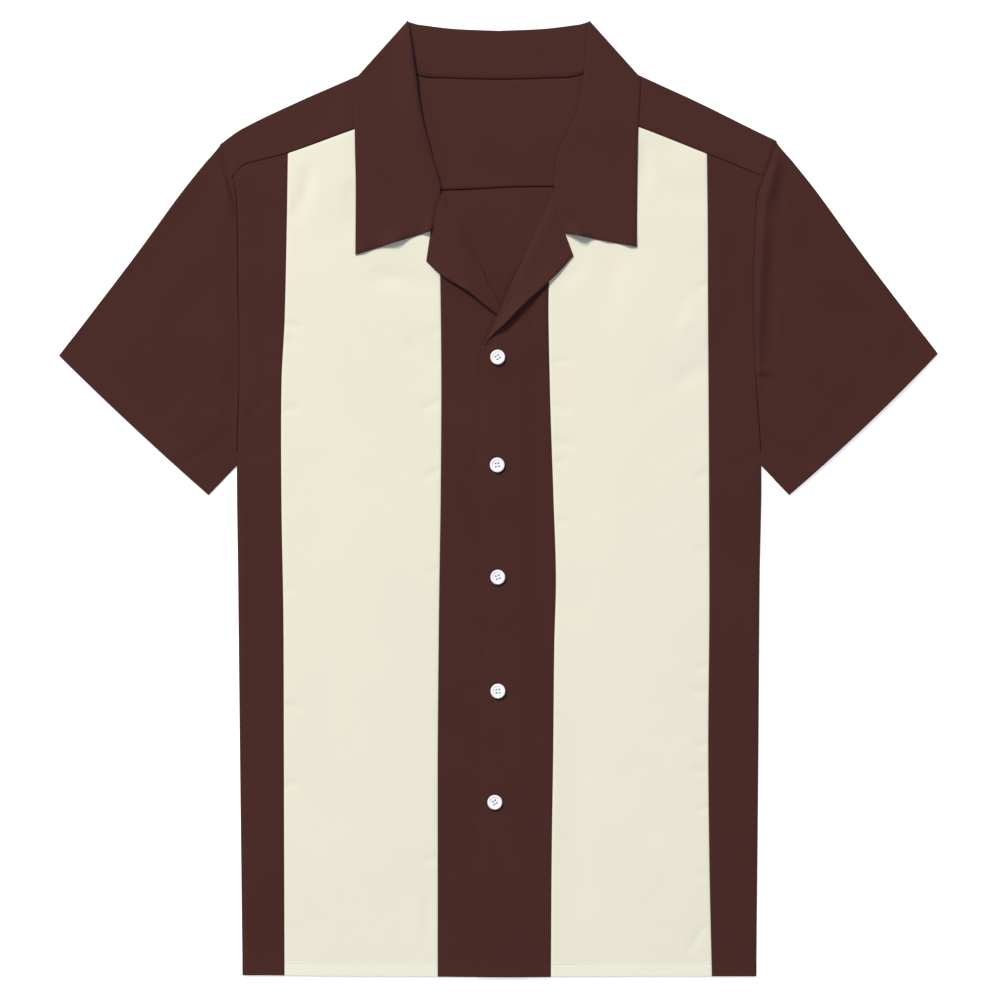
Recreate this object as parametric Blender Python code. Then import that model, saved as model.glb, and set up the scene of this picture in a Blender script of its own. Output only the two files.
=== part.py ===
"""Short-sleeved camp-collar bowling shirt, buttoned up and laid flat on its back.

Lengths in the tables are millimetres. X runs across, to the wearer's left. Y runs up the shirt, and the
tables count it from the hem. Z is height above the surface that the shirt lies on. "Reach" is a distance
from the shirt's middle line towards the side that a column names.
"""
import math
from collections import namedtuple

import bmesh
import bpy
from mathutils import Vector

MM = 0.001
WALL = 1.0  # cloth wall
GAP = 0.3  # between pieces at a seam, and between layers
LAYER = WALL + GAP
LENGTH = 820.0  # hem to the top of the collar's side folds
SIDES = {"right": -1, "left": 1}  # the wearer's sides
CLOTH_SHARP = 40  # degrees past which an edge is sharp
BUTTON_SHARP = 50

# Outer line of the body: side seam up to the underarm, then the armhole up to the shoulder.
EdgeRow = namedtuple("EdgeRow", "height right left")
UNDERARM = 440.0
SHOULDER_TIP = 716.0
BODY_EDGE = (
    EdgeRow(0, 219.4, 219.7),
    EdgeRow(190, 221.3, 223.0),
    EdgeRow(340, 222.7, 224.4),
    EdgeRow(UNDERARM, 224.9, 225.8),
    EdgeRow(520, 223.2, 221.1),
    EdgeRow(590, 224.0, 219.7),
    EdgeRow(640, 224.5, 221.1),
    EdgeRow(672, 225.8, 223.0),
    EdgeRow(686, 229.0, 228.3),
    EdgeRow(SHOULDER_TIP, 240.2, 239.1),
)
# Seams on each side of the contrast stripe.
STRIPE_OUTER = (
    EdgeRow(0, 183.9, 183.4),
    EdgeRow(95, 184.2, 181.3),
    EdgeRow(200, 184.5, 180.3),
    EdgeRow(310, 185.6, 181.4),
    EdgeRow(410, 186.6, 181.4),
    EdgeRow(510, 186.5, 181.3),
    EdgeRow(565, 183.8, 180.9),
    EdgeRow(648, 181.9, 180.2),
    EdgeRow(708, 181.0, 179.1),
)
STRIPE_INNER = (
    EdgeRow(0, 52.3, 45.1),
    EdgeRow(107, 52.3, 45.8),
    EdgeRow(189, 52.3, 46.6),
    EdgeRow(285, 51.5, 48.0),
    EdgeRow(343, 50.8, 49.4),
    EdgeRow(410, 49.8, 47.3),
    EdgeRow(510, 48.9, 43.9),
    EdgeRow(600, 49.5, 42.6),
    EdgeRow(676, 52.0, 50.0),
)
# Front edges of the centre panels: a negative reach lies past the middle, on the other side.
BREAK = {"right": 546.0, "left": 538.0}  # height where each lapel starts to turn back
FRONT_EDGE = (
    EdgeRow(0, -16.0, -18.5),
    EdgeRow(32, -16.0, -20.4),
    EdgeRow(106, -16.0, -20.4),
    EdgeRow(163, -16.0, -19.6),
    EdgeRow(226, -16.0, -18.1),
    EdgeRow(298, -16.0, -13.3),
    EdgeRow(358, -16.0, -16.8),
    EdgeRow(458, -16.0, -20.2),
    EdgeRow(500, -16.0, -16.8),
    EdgeRow(534, -16.0, -15.0),
)

# Shoulder fold and the front yoke seam, from the neck to the armhole.
AcrossRow = namedtuple("AcrossRow", "reach right left")
NECK_SIDE = 88.5  # reach of the neck seam at the shoulder
STRIPE_REACH = 181.0  # reach of the stripe's outer seam at the yoke
SHOULDER = (
    AcrossRow(NECK_SIDE, 789.0, 790.0),
    AcrossRow(121.0, 774.0, 774.4),
    AcrossRow(170.0, 751.6, 751.1),
    AcrossRow(220.6, 728.4, 727.0),
    AcrossRow(240.2, 714.5, 717.6),
)
YOKE_SEAM = (
    AcrossRow(83.3, 741.0, 742.0),
    AcrossRow(122.0, 728.8, 729.5),
    AcrossRow(180.0, 708.0, 706.8),
    AcrossRow(205.0, 701.5, 696.8),
    AcrossRow(221.0, 696.0, 690.0),
    AcrossRow(228.6, 686.0, 687.0),
)
BACK_YOKE_SEAM = 677.0
YOKE_FOOT_NECK = 75.0  # reach along the back yoke seam below the neck's side
YOKE_FOOT_END = 226.0  # and at the armhole

# Neckline: front seam from the lapel up to the shoulder fold, and back seam from the middle to it.
NeckRow = namedtuple("NeckRow", "height reach")
NECK_TURN = 741.0  # height where the front neck seam meets the yoke seam
FRONT_NECK = (NeckRow(676, 52.6), NeckRow(706, 67.0), NeckRow(NECK_TURN, 83.3), NeckRow(789, NECK_SIDE))
STRIPE_NECK_TOP = 738.0  # height of the stripe beside that turn
STRIPE_FOOT_DROP = 4.0  # how far the stripe's inner corner stays below the neck seam's foot
STRIPE_NECK_CLEAR = 1.0  # and how far it stays from the lapel
BackRow = namedtuple("BackRow", "reach neck fold fall")  # heights of neck seam, collar fold and fall's edge
BACK_COLLAR = (
    BackRow(0, 771.0, 812.0, 742.0),
    BackRow(40, 772.0, 813.5, 745.0),
    BackRow(71, 775.0, 817.0, 751.0),
    BackRow(NECK_SIDE, 789.0, 819.0, 758.0),
    BackRow(121, 789.0, 819.0, 774.0),
)

# Collar on each front, from the notch up: where it rolls over, and its free edge. lift is the roll's height.
CollarRow = namedtuple("CollarRow", "roll_reach roll_up edge_reach edge_up lift")
COLLAR_FRONT = {
    "right": (
        CollarRow(58.1, 640.7, 121.7, 620.1, 0.0),
        CollarRow(54.2, 658.5, 122.4, 650.0, 0.3),
        CollarRow(50.0, 677.5, 123.0, 682.0, 0.8),
        CollarRow(55.9, 701.8, 123.4, 709.0, 1.8),
        CollarRow(65.3, 739.2, 123.4, 735.0, 2.4),
        CollarRow(71.0, 776.6, 122.8, 757.0, 1.6),
        CollarRow(76.2, 811.0, 121.0, 772.0, 0.3),
    ),
    "left": (
        CollarRow(57.2, 638.5, 119.1, 626.9, 0.0),
        CollarRow(51.0, 652.0, 119.3, 653.0, 0.3),
        CollarRow(48.2, 677.5, 119.8, 682.0, 0.8),
        CollarRow(52.0, 703.5, 120.3, 709.0, 1.8),
        CollarRow(65.8, 739.0, 121.0, 735.0, 2.4),
        CollarRow(73.4, 777.0, 121.8, 757.0, 1.6),
        CollarRow(76.8, 811.0, 121.6, 772.0, 0.3),
    ),
}
FOLD_SPREAD = 0.865  # the back collar's fold is narrower than its neck seam
FALL_SPREAD = 1.33  # and the free edge of its fall is wider
COLLAR_FLAT_ROWS = 2  # rows below the break, where the collar is sewn flat to the lapel
COLLAR_FOLD_TOP = (76.0, 819.4)  # axis of the side folds, at the top
COLLAR_STAND_FOOT = (86.0, 793.0)  # axis of the stand's side fold, at the shoulder
COLLAR_FALL_FOOT = (121.0, 775.2)  # axis of the fall's side fold, at the shoulder
COLLAR_SIDE_BULGE = (0.3, 0.954)  # way in which the roll stands out at the side folds
STAND_DROP = 6.0  # how far the stand's seam lies below its roll, once that has passed the yoke seam
STAND_DROP_START = 740.0
STAND_DROP_SPAN = 40.0
STAND_TOP = 800.0  # above this roll height the stand's seam lies lower still
STAND_TOP_DROP = 18.0
STAND_SHARES = (1.0, 0.5, 0.08)  # places across the stand, from the neck seam to the roll
FALL_SHARES = (0.04, 0.14, 0.3, 0.6, 1.0)  # places across the fall, from the roll to its edge
ROLL_STEPS = (45, 90, 135)  # degrees round the roll
SIDE_FOLD_STEPS = (60, 20, -20, -60)  # degrees round the side fold, from front to back
NECK_STOPS = (-81.0, -71.0, -56.0, -30.0, 0.0, 30.0, 56.0, 71.0, 81.0)  # places along the back neck seam

# Lapels, from the gorge seam down to the break.
LapelRow = namedtuple("LapelRow", "roll_reach roll_up edge_reach edge_up lift")
LAPELS = {
    "right": (
        LapelRow(47.0, 673.0, 50.6, 671.0, 0.3),
        LapelRow(43.0, 661.5, 57.0, 643.0, 1.0),
        LapelRow(32.5, 648.0, 61.9, 614.5, 1.6),
        LapelRow(24.3, 629.0, 50.3, 603.7, 1.6),
        LapelRow(17.0, 615.0, 37.0, 595.5, 1.2),
        LapelRow(10.5, 599.0, 24.5, 587.7, 0.9),
        LapelRow(1.3, 581.0, 11.5, 577.0, 0.5),
        LapelRow(-7.0, 565.0, -0.5, 567.0, 0.2),
        LapelRow(-13.2, 552.0, -9.4, 555.0, 0.0),
    ),
    "left": (
        LapelRow(45.2, 673.0, 47.9, 670.5, 0.3),
        LapelRow(42.0, 663.5, 49.9, 652.5, 0.9),
        LapelRow(38.5, 655.5, 55.6, 640.0, 1.5),
        LapelRow(34.8, 647.5, 64.1, 619.2, 2.2),
        LapelRow(27.0, 630.0, 50.5, 604.0, 2.8),
        LapelRow(18.5, 611.0, 35.0, 589.8, 3.0),
        LapelRow(9.5, 591.0, 18.5, 574.5, 2.8),
        LapelRow(0.5, 571.0, 5.5, 561.0, 2.0),
        LapelRow(-7.0, 554.0, -4.2, 551.5, 1.0),
        LapelRow(-11.8, 543.5, -9.2, 546.2, 0.3),
    ),
}
LAPEL_TURN = 5.7  # the part of a lapel that goes round the roll and on under it
LAPEL_SHARES = (0.12, 0.35, 0.68, 1.0)
LAPEL_INSET = 0.4  # the most of a lapel's width that its roll may take
LIFT_REACH = 14.0  # how far from a roll its lift dies away

# Sleeves: corners of the cuff, upper then lower.
CuffCorner = namedtuple("CuffCorner", "right left")
CUFF_UPPER = CuffCorner((377.0, 533.0), (377.0, 534.2))
CUFF_LOWER = CuffCorner((249.2, 413.7), (249.8, 413.7))
SLEEVE_STATIONS = 8
SLEEVE_PUFF = 1.1  # how much the sleeve's upper layer swells away from the armhole
SLEEVE_TROUGH = 26.0  # width of the soft trough beside the armhole
SLEEVE_EASE = 4.0  # the swell dies away within a quarter of the sleeve's width from each fold

# Soft swells where the front stands a little off the back.
Swell = namedtuple("Swell", "across up half_across half_up rise")
SWELLS = (
    Swell(-130, 600, 46, 90, 1.0),
    Swell(-112, 330, 60, 150, 0.8),
    Swell(-140, 90, 50, 60, 0.5),
    Swell(128, 590, 40, 110, 1.1),
    Swell(118, 300, 56, 140, 0.7),
    Swell(140, 110, 60, 70, 0.6),
    Swell(20, 470, 26, 60, 0.5),
    Swell(14, 200, 30, 90, 0.4),
)

# Buttons: two-step rim, dished middle, four holes.
BUTTON_RADIUS = 6.35
BUTTON_PITCH = 95.6
TOP_BUTTON = 532.6
BUTTON_LINE = -1.2
ButtonRow = namedtuple("ButtonRow", "across nudge")  # small shifts of each button along and off its line
BUTTONS = (
    ButtonRow(0.0, 0.0),
    ButtonRow(-0.4, 3.0),
    ButtonRow(0.1, 2.2),
    ButtonRow(0.2, -0.1),
    ButtonRow(-2.5, 0.0),
)
ProfileRow = namedtuple("ProfileRow", "radius height")
BUTTON_PROFILE = (
    ProfileRow(4.8, 0.0),
    ProfileRow(6.0, 0.6),
    ProfileRow(BUTTON_RADIUS, 1.3),
    ProfileRow(6.05, 2.0),
    ProfileRow(5.4, 2.3),
    ProfileRow(4.7, 2.1),
    ProfileRow(4.0, 1.6),
)
BUTTON_SIDES = 26
BUTTON_HOLE_RADIUS = 0.75
BUTTON_HOLE_SIDES = 8
BUTTON_HOLE_SPREAD = 1.35
BUTTON_PIN = 8.0  # length of a pin that cuts a hole
BUTTON_PIN_MIDDLE = 1.0
BUTTON_SEAT = 5.0  # the cloth is felt for this far round a button's middle
BUTTON_CLEARANCE = 0.4

PLACKET_HALF = 16.0  # reach of the under front's edge past the middle
PLACKET_CLEAR = 2.0
PLACKET_SLOPE = 14.0  # width over which the top front steps down past the under front's edge
CROSSING = (6.0, 560.0)  # where the under lapel passes beneath the top front
CROSSING_REACH = 26.0
CROSSING_RISE = 1.3  # layers, a little more than the lapel itself, which is rolled there
COLLAR_BED_START = 680.0  # the yoke rises from here to lie on the collar's back fall
COLLAR_BED_FULL = 735.0
COLLAR_BED_REACH = 127.0
COLLAR_BED_SLOPE = 24.0

BACK_COLUMNS = 8
CENTRE_COLUMNS = 7
BREAK_BELOW = 2.0  # stops just below and just above a break
BREAK_ABOVE = 3.0
CENTRE_HEIGHTS = (0, 50, 100, 150, 200, 250, 300, 350, 400, 450, 500, 560, 570, 582, 600, 625, 650, 661)
BODY_HEIGHTS = (0, 60, 125, 190, 265, 340, 390, 440, 480, 520, 555, 590, 615, 640, 660, 672)
ARMHOLE_HEIGHTS = (438, 480, 520, 555, 590, 615, 640, 660, 672, 686, 700, 714)
STRIPE_HEIGHTS = BODY_HEIGHTS + (690.0,)
YOKE_REACHES = (83.6, 102.0, 122.0, 151.0, STRIPE_REACH, 205.0, 221.0, 228.0)  # stops along the yoke seam
STRIPE_NECK_STOPS = (60.0, 72.0)  # and along the front neck seam
YOKE_BACK_ROWS = 4
YOKE_FRONT_ROWS = 3
YOKE_FOLD_STEPS = (-60, 0, 60)  # degrees round the shoulder fold
SHARE_MARGIN = 0.005  # stops nearer than this to an end are left out
TOP_PULL = 7  # how sharply a panel's upper rows take up the shape of its top seam

BROWN = (0.069, 0.024, 0.019)
CREAM = (0.80, 0.77, 0.65)
WHITE = (0.82, 0.84, 0.86)


def smooth(share):
    """Ease from 0 to 1 as the share goes from 0 to 1."""
    share = min(max(share, 0.0), 1.0)
    return share * share * (3.0 - 2.0 * share)


def follow(rows, place, column):
    """Value of a table's column at a place along its first column, curved between the rows."""
    keys = [row[0] for row in rows]
    values = [getattr(row, column) for row in rows]
    if place <= keys[0]:
        return values[0]
    if place >= keys[-1]:
        return values[-1]
    last = len(rows) - 1
    low = max(k for k in range(last) if keys[k] <= place)

    def slope(k):
        before, after = max(k - 1, 0), min(k + 1, last)
        return (values[after] - values[before]) / (keys[after] - keys[before])

    span = keys[low + 1] - keys[low]
    t = (place - keys[low]) / span
    start, end = values[low], values[low + 1]
    bend = (2 * t**3 - 3 * t**2 + 1) * start + (3 * t**2 - 2 * t**3) * end
    lean = (t**3 - 2 * t**2 + t) * slope(low) + (t**3 - t**2) * slope(low + 1)
    return bend + span * lean


def neck_reach(height):
    """Reach of the front neck seam, straight between its rows."""
    rows = FRONT_NECK
    low = max(k for k in range(len(rows) - 1) if rows[k].height <= height or k == 0)
    share = (height - rows[low].height) / (rows[low + 1].height - rows[low].height)
    return rows[low].reach + share * (rows[low + 1].reach - rows[low].reach)


def bed(x, y):
    """Underside of the back layer: flat on the surface, one layer up over the collar's back fall."""
    up = smooth((y - COLLAR_BED_START) / (COLLAR_BED_FULL - COLLAR_BED_START))
    across = smooth((COLLAR_BED_REACH + COLLAR_BED_SLOPE - abs(x)) / COLLAR_BED_SLOPE)
    return LAYER * up * across


def loft(x, y):
    """How far the front stands off the back."""
    total = 0.0
    for swell in SWELLS:
        u = (x - swell.across) / swell.half_across
        v = (y - swell.up) / swell.half_up
        total += swell.rise * math.exp(-u * u - v * v)
    return total


def front_bed(x, y):
    """Underside of the front layer."""
    return bed(x, y) + LAYER + loft(x, y)


def top_front_bed(x, y):
    """Underside of the left centre panel, which laps over the right one and its lapel."""
    placket = smooth(1.0 - (x - PLACKET_HALF - PLACKET_CLEAR) / PLACKET_SLOPE)
    away = math.hypot(x - CROSSING[0], y - CROSSING[1])
    crossing = smooth(2.0 - away / CROSSING_REACH)
    return front_bed(x, y) + LAYER * (placket + CROSSING_RISE * crossing)


def place(x, y, z):
    """Point of the shirt, in metres, with the origin under the middle of its outline."""
    return Vector((x, y - LENGTH / 2, z)) * MM


def material(name, colour, roughness):
    """Plain cloth or plastic finish."""
    finish = bpy.data.materials.new(name)
    finish.use_nodes = True
    shader = finish.node_tree.nodes["Principled BSDF"]
    shader.inputs["Base Color"].default_value = (*colour, 1.0)
    shader.inputs["Roughness"].default_value = roughness
    shader.inputs["Metallic"].default_value = 0.0
    return finish


def add_object(name, mesh, finish):
    """Put a finished mesh into the scene under its own name."""
    mesh.materials.append(finish)
    piece = bpy.data.objects.new(name, mesh)
    bpy.context.scene.collection.objects.link(piece)
    return piece


def cloth_wall(name, points, cells, finish):
    """Closed cloth solid round a middle surface.

    points maps grid places to millimetre points; each cell lists four of them, anticlockwise as seen from
    the side of the cloth that becomes its outer face.
    """
    sums = {key: Vector((0.0, 0.0, 0.0)) for cell in cells for key in cell}
    for cell in cells:
        a, b, c, d = (points[key] for key in cell)
        normal = (c - a).cross(d - b)
        for key in cell:
            sums[key] += normal.normalized()
    shell = bmesh.new()
    outer, inner = {}, {}
    for key, total in sums.items():
        step = total.normalized() * (WALL / 2)
        outer[key] = shell.verts.new(place(*(points[key] + step)))
        inner[key] = shell.verts.new(place(*(points[key] - step)))
    used = set()
    for cell in cells:
        shell.faces.new([outer[key] for key in cell])
        shell.faces.new([inner[key] for key in reversed(cell)])
        used.update(zip(cell, cell[1:] + cell[:1]))
    for start, end in sorted(used):
        if (end, start) not in used:
            shell.faces.new((outer[end], outer[start], inner[start], inner[end]))
    bmesh.ops.recalc_face_normals(shell, faces=shell.faces)
    mesh = bpy.data.meshes.new(name)
    shell.to_mesh(mesh)
    shell.free()
    mesh.shade_smooth()
    mesh.set_sharp_from_angle(angle=math.radians(CLOTH_SHARP))
    return add_object(name, mesh, finish)


def grid_cells(columns, rows):
    """Cells of a grid of columns by rows of squares."""
    return [
        ((i, j), (i + 1, j), (i + 1, j + 1), (i, j + 1))
        for i in range(columns)
        for j in range(rows)
    ]


def laid_panel(name, edge_a, edge_b, top, across_shares, shares, level, finish):
    """Panel between two edges, left one first, lying at a level.

    edge_a and edge_b give a plan point for a share of the way up; top gives one for a share across.
    """
    points = {}
    for i, across in enumerate(across_shares):
        pull = top(across) - edge_a(1.0).lerp(edge_b(1.0), across)
        for j, share in enumerate(shares):
            spot = edge_a(share).lerp(edge_b(share), across) + pull * share**TOP_PULL
            points[i, j] = Vector((spot.x, spot.y, level(spot.x, spot.y) + WALL / 2))
    cells = grid_cells(len(across_shares) - 1, len(shares) - 1)
    return cloth_wall(name, points, cells, finish)


def shares_of(stops, first, last):
    """Shares of the way from first to last at which the stops lie, ends included."""
    inside = sorted((stop - first) / (last - first) for stop in stops)
    return [0.0] + [share for share in inside if SHARE_MARGIN < share < 1.0 - SHARE_MARGIN] + [1.0]


def seam_line(rows, side, top, inset):
    """Edge along a seam from the hem to a height, moved in by an inset towards the middle."""

    def point(share):
        height = share * top
        return Vector((SIDES[side] * (follow(rows, height, side) - inset), height))

    return point


def even(count):
    """Equal shares from 0 to 1."""
    return [k / count for k in range(count + 1)]


def make_back(finish):
    """Back below the yoke, flat on the surface."""
    top = BACK_YOKE_SEAM - GAP / 2
    edges = [seam_line(BODY_EDGE, side, top, GAP) for side in ("right", "left")]

    def straight_top(across):
        return edges[0](1.0).lerp(edges[1](1.0), across)

    rows = shares_of(BODY_HEIGHTS, 0.0, top)
    laid_panel("back", *edges, straight_top, even(BACK_COLUMNS), rows, bed, finish)


def make_front_side(side, finish):
    """Front panel between the side seam and the stripe."""
    sign = SIDES[side]
    outer_top = follow(YOKE_SEAM, YOKE_REACHES[-1], side) - 2 * GAP
    outer = seam_line(BODY_EDGE, side, outer_top, GAP)
    inner = seam_line(STRIPE_OUTER, side, follow(YOKE_SEAM, STRIPE_REACH, side) - GAP, -GAP)
    first, last = (outer, inner) if side == "right" else (inner, outer)

    def top(across):
        spot = first(1.0).lerp(last(1.0), across)
        return Vector((spot.x, follow(YOKE_SEAM, sign * spot.x, side) - GAP))

    stops = [sign * reach for reach in YOKE_REACHES]
    columns = shares_of(stops, first(1.0).x, last(1.0).x)
    rows = shares_of(BODY_HEIGHTS, 0.0, outer_top)
    laid_panel(f"{side}_front_side", first, last, top, columns, rows, front_bed, finish)


def make_front_stripe(side, finish):
    """Contrast stripe from the yoke and neck seams down to the hem."""
    sign = SIDES[side]
    neck_foot = FRONT_NECK[0].height - GAP
    outer = seam_line(STRIPE_OUTER, side, follow(YOKE_SEAM, STRIPE_REACH, side) - GAP, GAP / 2)
    inner = seam_line(STRIPE_INNER, side, neck_foot - STRIPE_FOOT_DROP, -STRIPE_NECK_CLEAR)
    first, last = (outer, inner) if side == "right" else (inner, outer)

    def top(across):
        spot = first(1.0).lerp(last(1.0), across)
        reach = sign * spot.x
        turn = neck_reach(NECK_TURN)
        if reach > turn:
            return Vector((spot.x, follow(YOKE_SEAM, reach, side) - GAP))
        share = (reach - sign * inner(1.0).x) / (turn - sign * inner(1.0).x)
        height = inner(1.0).y + share * (STRIPE_NECK_TOP - inner(1.0).y)
        clear = neck_reach(max(height, FRONT_NECK[0].height)) + 2 * GAP
        return Vector((sign * max(reach, clear), height))

    stops = [sign * reach for reach in YOKE_REACHES + STRIPE_NECK_STOPS]
    columns = shares_of(stops, first(1.0).x, last(1.0).x)
    rows = shares_of(STRIPE_HEIGHTS, 0.0, outer(1.0).y)
    laid_panel(f"{side}_front_stripe", first, last, top, columns, rows, front_bed, finish)


def lapel_roll(side, height):
    """Reach of a lapel's roll line at a height."""
    rows = [EdgeRow(row.roll_up, row.roll_reach, row.roll_reach) for row in reversed(LAPELS[side])]
    return follow(rows, height, side)


def centre_edge(side, height):
    """Reach of a centre panel's front edge: free below the break, along the lapel's roll above it."""
    if height < BREAK[side] + BREAK_ABOVE:
        return follow(FRONT_EDGE, height, side)
    return lapel_roll(side, height) + LAPEL_TURN + GAP


def make_front_centre(side, finish):
    """Centre panel from the stripe to the front edge; the left one laps over the right one."""
    sign = SIDES[side]
    top_height = CENTRE_HEIGHTS[-1]
    level = front_bed if side == "right" else top_front_bed
    heights = CENTRE_HEIGHTS + (BREAK[side] - BREAK_BELOW, BREAK[side] + BREAK_ABOVE)
    rows = [height / top_height for height in sorted(heights)]

    def seam(share):
        height = share * top_height
        return Vector((sign * (follow(STRIPE_INNER, height, side) - GAP / 2), height))

    def front(share):
        height = share * top_height
        return Vector((sign * centre_edge(side, height), height))

    first, last = (seam, front) if side == "right" else (front, seam)

    def top(across):
        return first(1.0).lerp(last(1.0), across)

    laid_panel(f"{side}_front_centre", first, last, top, even(CENTRE_COLUMNS), rows, level, finish)


def make_yoke(finish):
    """Yoke in one piece: across the back, over the shoulders, and a strip down each front."""
    points, cells = {}, []

    def trimmed(spot, side, share):
        if share < 1.0:
            return spot
        return Vector((SIDES[side] * (follow(BODY_EDGE, spot.y, side) - GAP), spot.y))

    def side_column(side, share):
        sign = SIDES[side]
        tip = getattr(BODY_EDGE[-1], side)
        fold_reach = NECK_SIDE + GAP + share * (tip - 3 * GAP - NECK_SIDE)
        seam_reach = YOKE_REACHES[0] + share * (YOKE_REACHES[-1] - YOKE_REACHES[0])
        foot_reach = YOKE_FOOT_NECK + share * (YOKE_FOOT_END - YOKE_FOOT_NECK)
        foot = Vector((sign * foot_reach, BACK_YOKE_SEAM + GAP / 2))
        radius = LAYER / 2
        fold = Vector((sign * fold_reach, follow(SHOULDER, fold_reach, side) - radius - WALL / 2))
        seam = Vector((sign * seam_reach, follow(YOKE_SEAM, seam_reach, side)))
        column = []
        for share_up in even(YOKE_BACK_ROWS):
            spot = trimmed(foot.lerp(fold, share_up), side, share)
            column.append(Vector((spot.x, spot.y, bed(*spot) + WALL / 2)))
        middle = bed(*fold) + (WALL + LAYER) / 2
        for step in YOKE_FOLD_STEPS:
            angle = math.radians(step)
            y = fold.y + radius * math.cos(angle)
            column.append(Vector((fold.x, y, middle + radius * math.sin(angle))))
        for share_down in even(YOKE_FRONT_ROWS):
            spot = trimmed(fold.lerp(seam, share_down), side, share)
            column.append(Vector((spot.x, spot.y, front_bed(*spot) + WALL / 2)))
        return column

    def neck_column(across):
        foot = Vector((across * YOKE_FOOT_NECK / NECK_SIDE, BACK_YOKE_SEAM + GAP / 2))
        head = Vector((across, follow(BACK_COLLAR, abs(across), "neck") - GAP))
        column = []
        for share_up in even(YOKE_BACK_ROWS):
            spot = foot.lerp(head, share_up)
            column.append(Vector((spot.x, spot.y, bed(*spot) + WALL / 2)))
        return column

    stops = shares_of(YOKE_REACHES, YOKE_REACHES[0], YOKE_REACHES[-1])
    columns = [side_column("right", share) for share in reversed(stops)]
    columns += [neck_column(across) for across in NECK_STOPS]
    columns += [side_column("left", share) for share in stops]
    for i, column in enumerate(columns):
        for j, point in enumerate(column):
            points[i, j] = point
    for i in range(len(columns) - 1):
        rows = min(len(columns[i]), len(columns[i + 1])) - 1
        for j in range(rows):
            cells.append(((i, j + 1), (i + 1, j + 1), (i + 1, j), (i, j)))
    cloth_wall("yoke", points, cells, finish)


def make_sleeve(side, finish):
    """Short sleeve, a flattened tube from the armhole to the cuff."""
    sign = SIDES[side]
    radius = LAYER / 2
    upper = Vector(getattr(CUFF_UPPER, side))
    lower = Vector(getattr(CUFF_LOWER, side))
    low, high = ARMHOLE_HEIGHTS[0], ARMHOLE_HEIGHTS[-1]
    shares = [(height - low) / (high - low) for height in ARMHOLE_HEIGHTS]

    def armhole(share):
        height = low + share * (high - low)
        return Vector((follow(BODY_EDGE, height, side) + GAP, height))

    ring = [(share, 0) for share in shares] + [(1.0, 1)]
    ring += [(share, 2) for share in reversed(shares)] + [(0.0, 1)]
    points, cells = {}, []
    for j in range(SLEEVE_STATIONS + 1):
        along = j / SLEEVE_STATIONS
        start = armhole(0.0).lerp(lower, along)
        end = armhole(1.0).lerp(upper, along)
        inward = (end - start).normalized() * (radius + WALL / 2)
        for i, (share, layer) in enumerate(ring):
            plan = armhole(share).lerp(lower.lerp(upper, share), along)
            edge = inward * (1.0 - 2.0 * share) if share in (0.0, 1.0) else Vector((0.0, 0.0))
            if layer == 1:
                edge *= (WALL / 2) / (radius + WALL / 2)
            plan += edge
            away = (plan - armhole(share)).length
            eased = smooth(SLEEVE_EASE * share) * smooth(SLEEVE_EASE * (1 - share))
            swell = SLEEVE_PUFF * smooth(away / SLEEVE_TROUGH) * eased
            height = WALL / 2 + radius * layer + (swell if layer == 2 else 0.0)
            points[i, j] = Vector((sign * plan.x, plan.y, height))
    count = len(ring)
    for i in range(count):
        for j in range(SLEEVE_STATIONS):
            k = (i + 1) % count
            cells.append(((i, j), (k, j), (k, j + 1), (i, j + 1)))
    cloth_wall(f"{side}_sleeve", points, cells, finish)


def rolled_section(stand, fall, bulge):
    """Middle line of a turned-over leaf: up the stand, round the roll, and down the fall."""
    foot, head = stand[-1], fall[0]
    centre = (foot + head) / 2
    half = (head - foot) / 2
    line = list(stand)
    for step in ROLL_STEPS:
        angle = math.radians(step)
        line.append(centre - half * math.cos(angle) + bulge * (half.length * math.sin(angle)))
    return line + list(fall)


def collar_rows(side):
    """Rows of a front's collar table, with one more halfway between each two."""
    table = COLLAR_FRONT[side]
    rows = []
    for low, high in zip(table, table[1:]):
        rows += [low, CollarRow(*((a + b) / 2 for a, b in zip(low, high)))]
    return rows + [table[-1]]


def collar_front_station(side, row, flat):
    """Section across the collar on a front; a flat one has only its fall."""
    sign = SIDES[side]
    radius = (LAYER + row.lift) / 2
    inward = Vector((-sign, 0.0, 0.0))
    roll = Vector((sign * row.roll_reach, row.roll_up))
    edge = Vector((sign * row.edge_reach, row.edge_up))
    inset = 0.0 if flat else radius + WALL / 2
    roll = roll + (edge - roll).normalized() * inset
    fall = []
    for share in FALL_SHARES:
        spot = roll.lerp(edge, 0.0 if share == FALL_SHARES[0] else share)
        lift = row.lift * math.exp(-(((spot - roll).length / LIFT_REACH) ** 2))
        fall.append(Vector((spot.x, spot.y, front_bed(*spot) + LAYER + WALL / 2 + lift)))
    if flat:
        return fall
    drop = STAND_DROP * smooth((row.roll_up - STAND_DROP_START) / STAND_DROP_SPAN)
    if row.roll_up > STAND_TOP:
        drop += STAND_TOP_DROP
    height = max(row.roll_up - drop, BACK_YOKE_SEAM)
    seam = Vector((sign * (neck_reach(height) - GAP), height))
    stand = []
    for share in STAND_SHARES:
        spot = roll.lerp(seam, 0.0 if share == STAND_SHARES[-1] else share)
        stand.append(Vector((spot.x, spot.y, front_bed(*spot) + WALL / 2)))
    stand[-1].z = fall[0].z - 2 * radius
    return rolled_section(stand, fall, inward)


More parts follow.
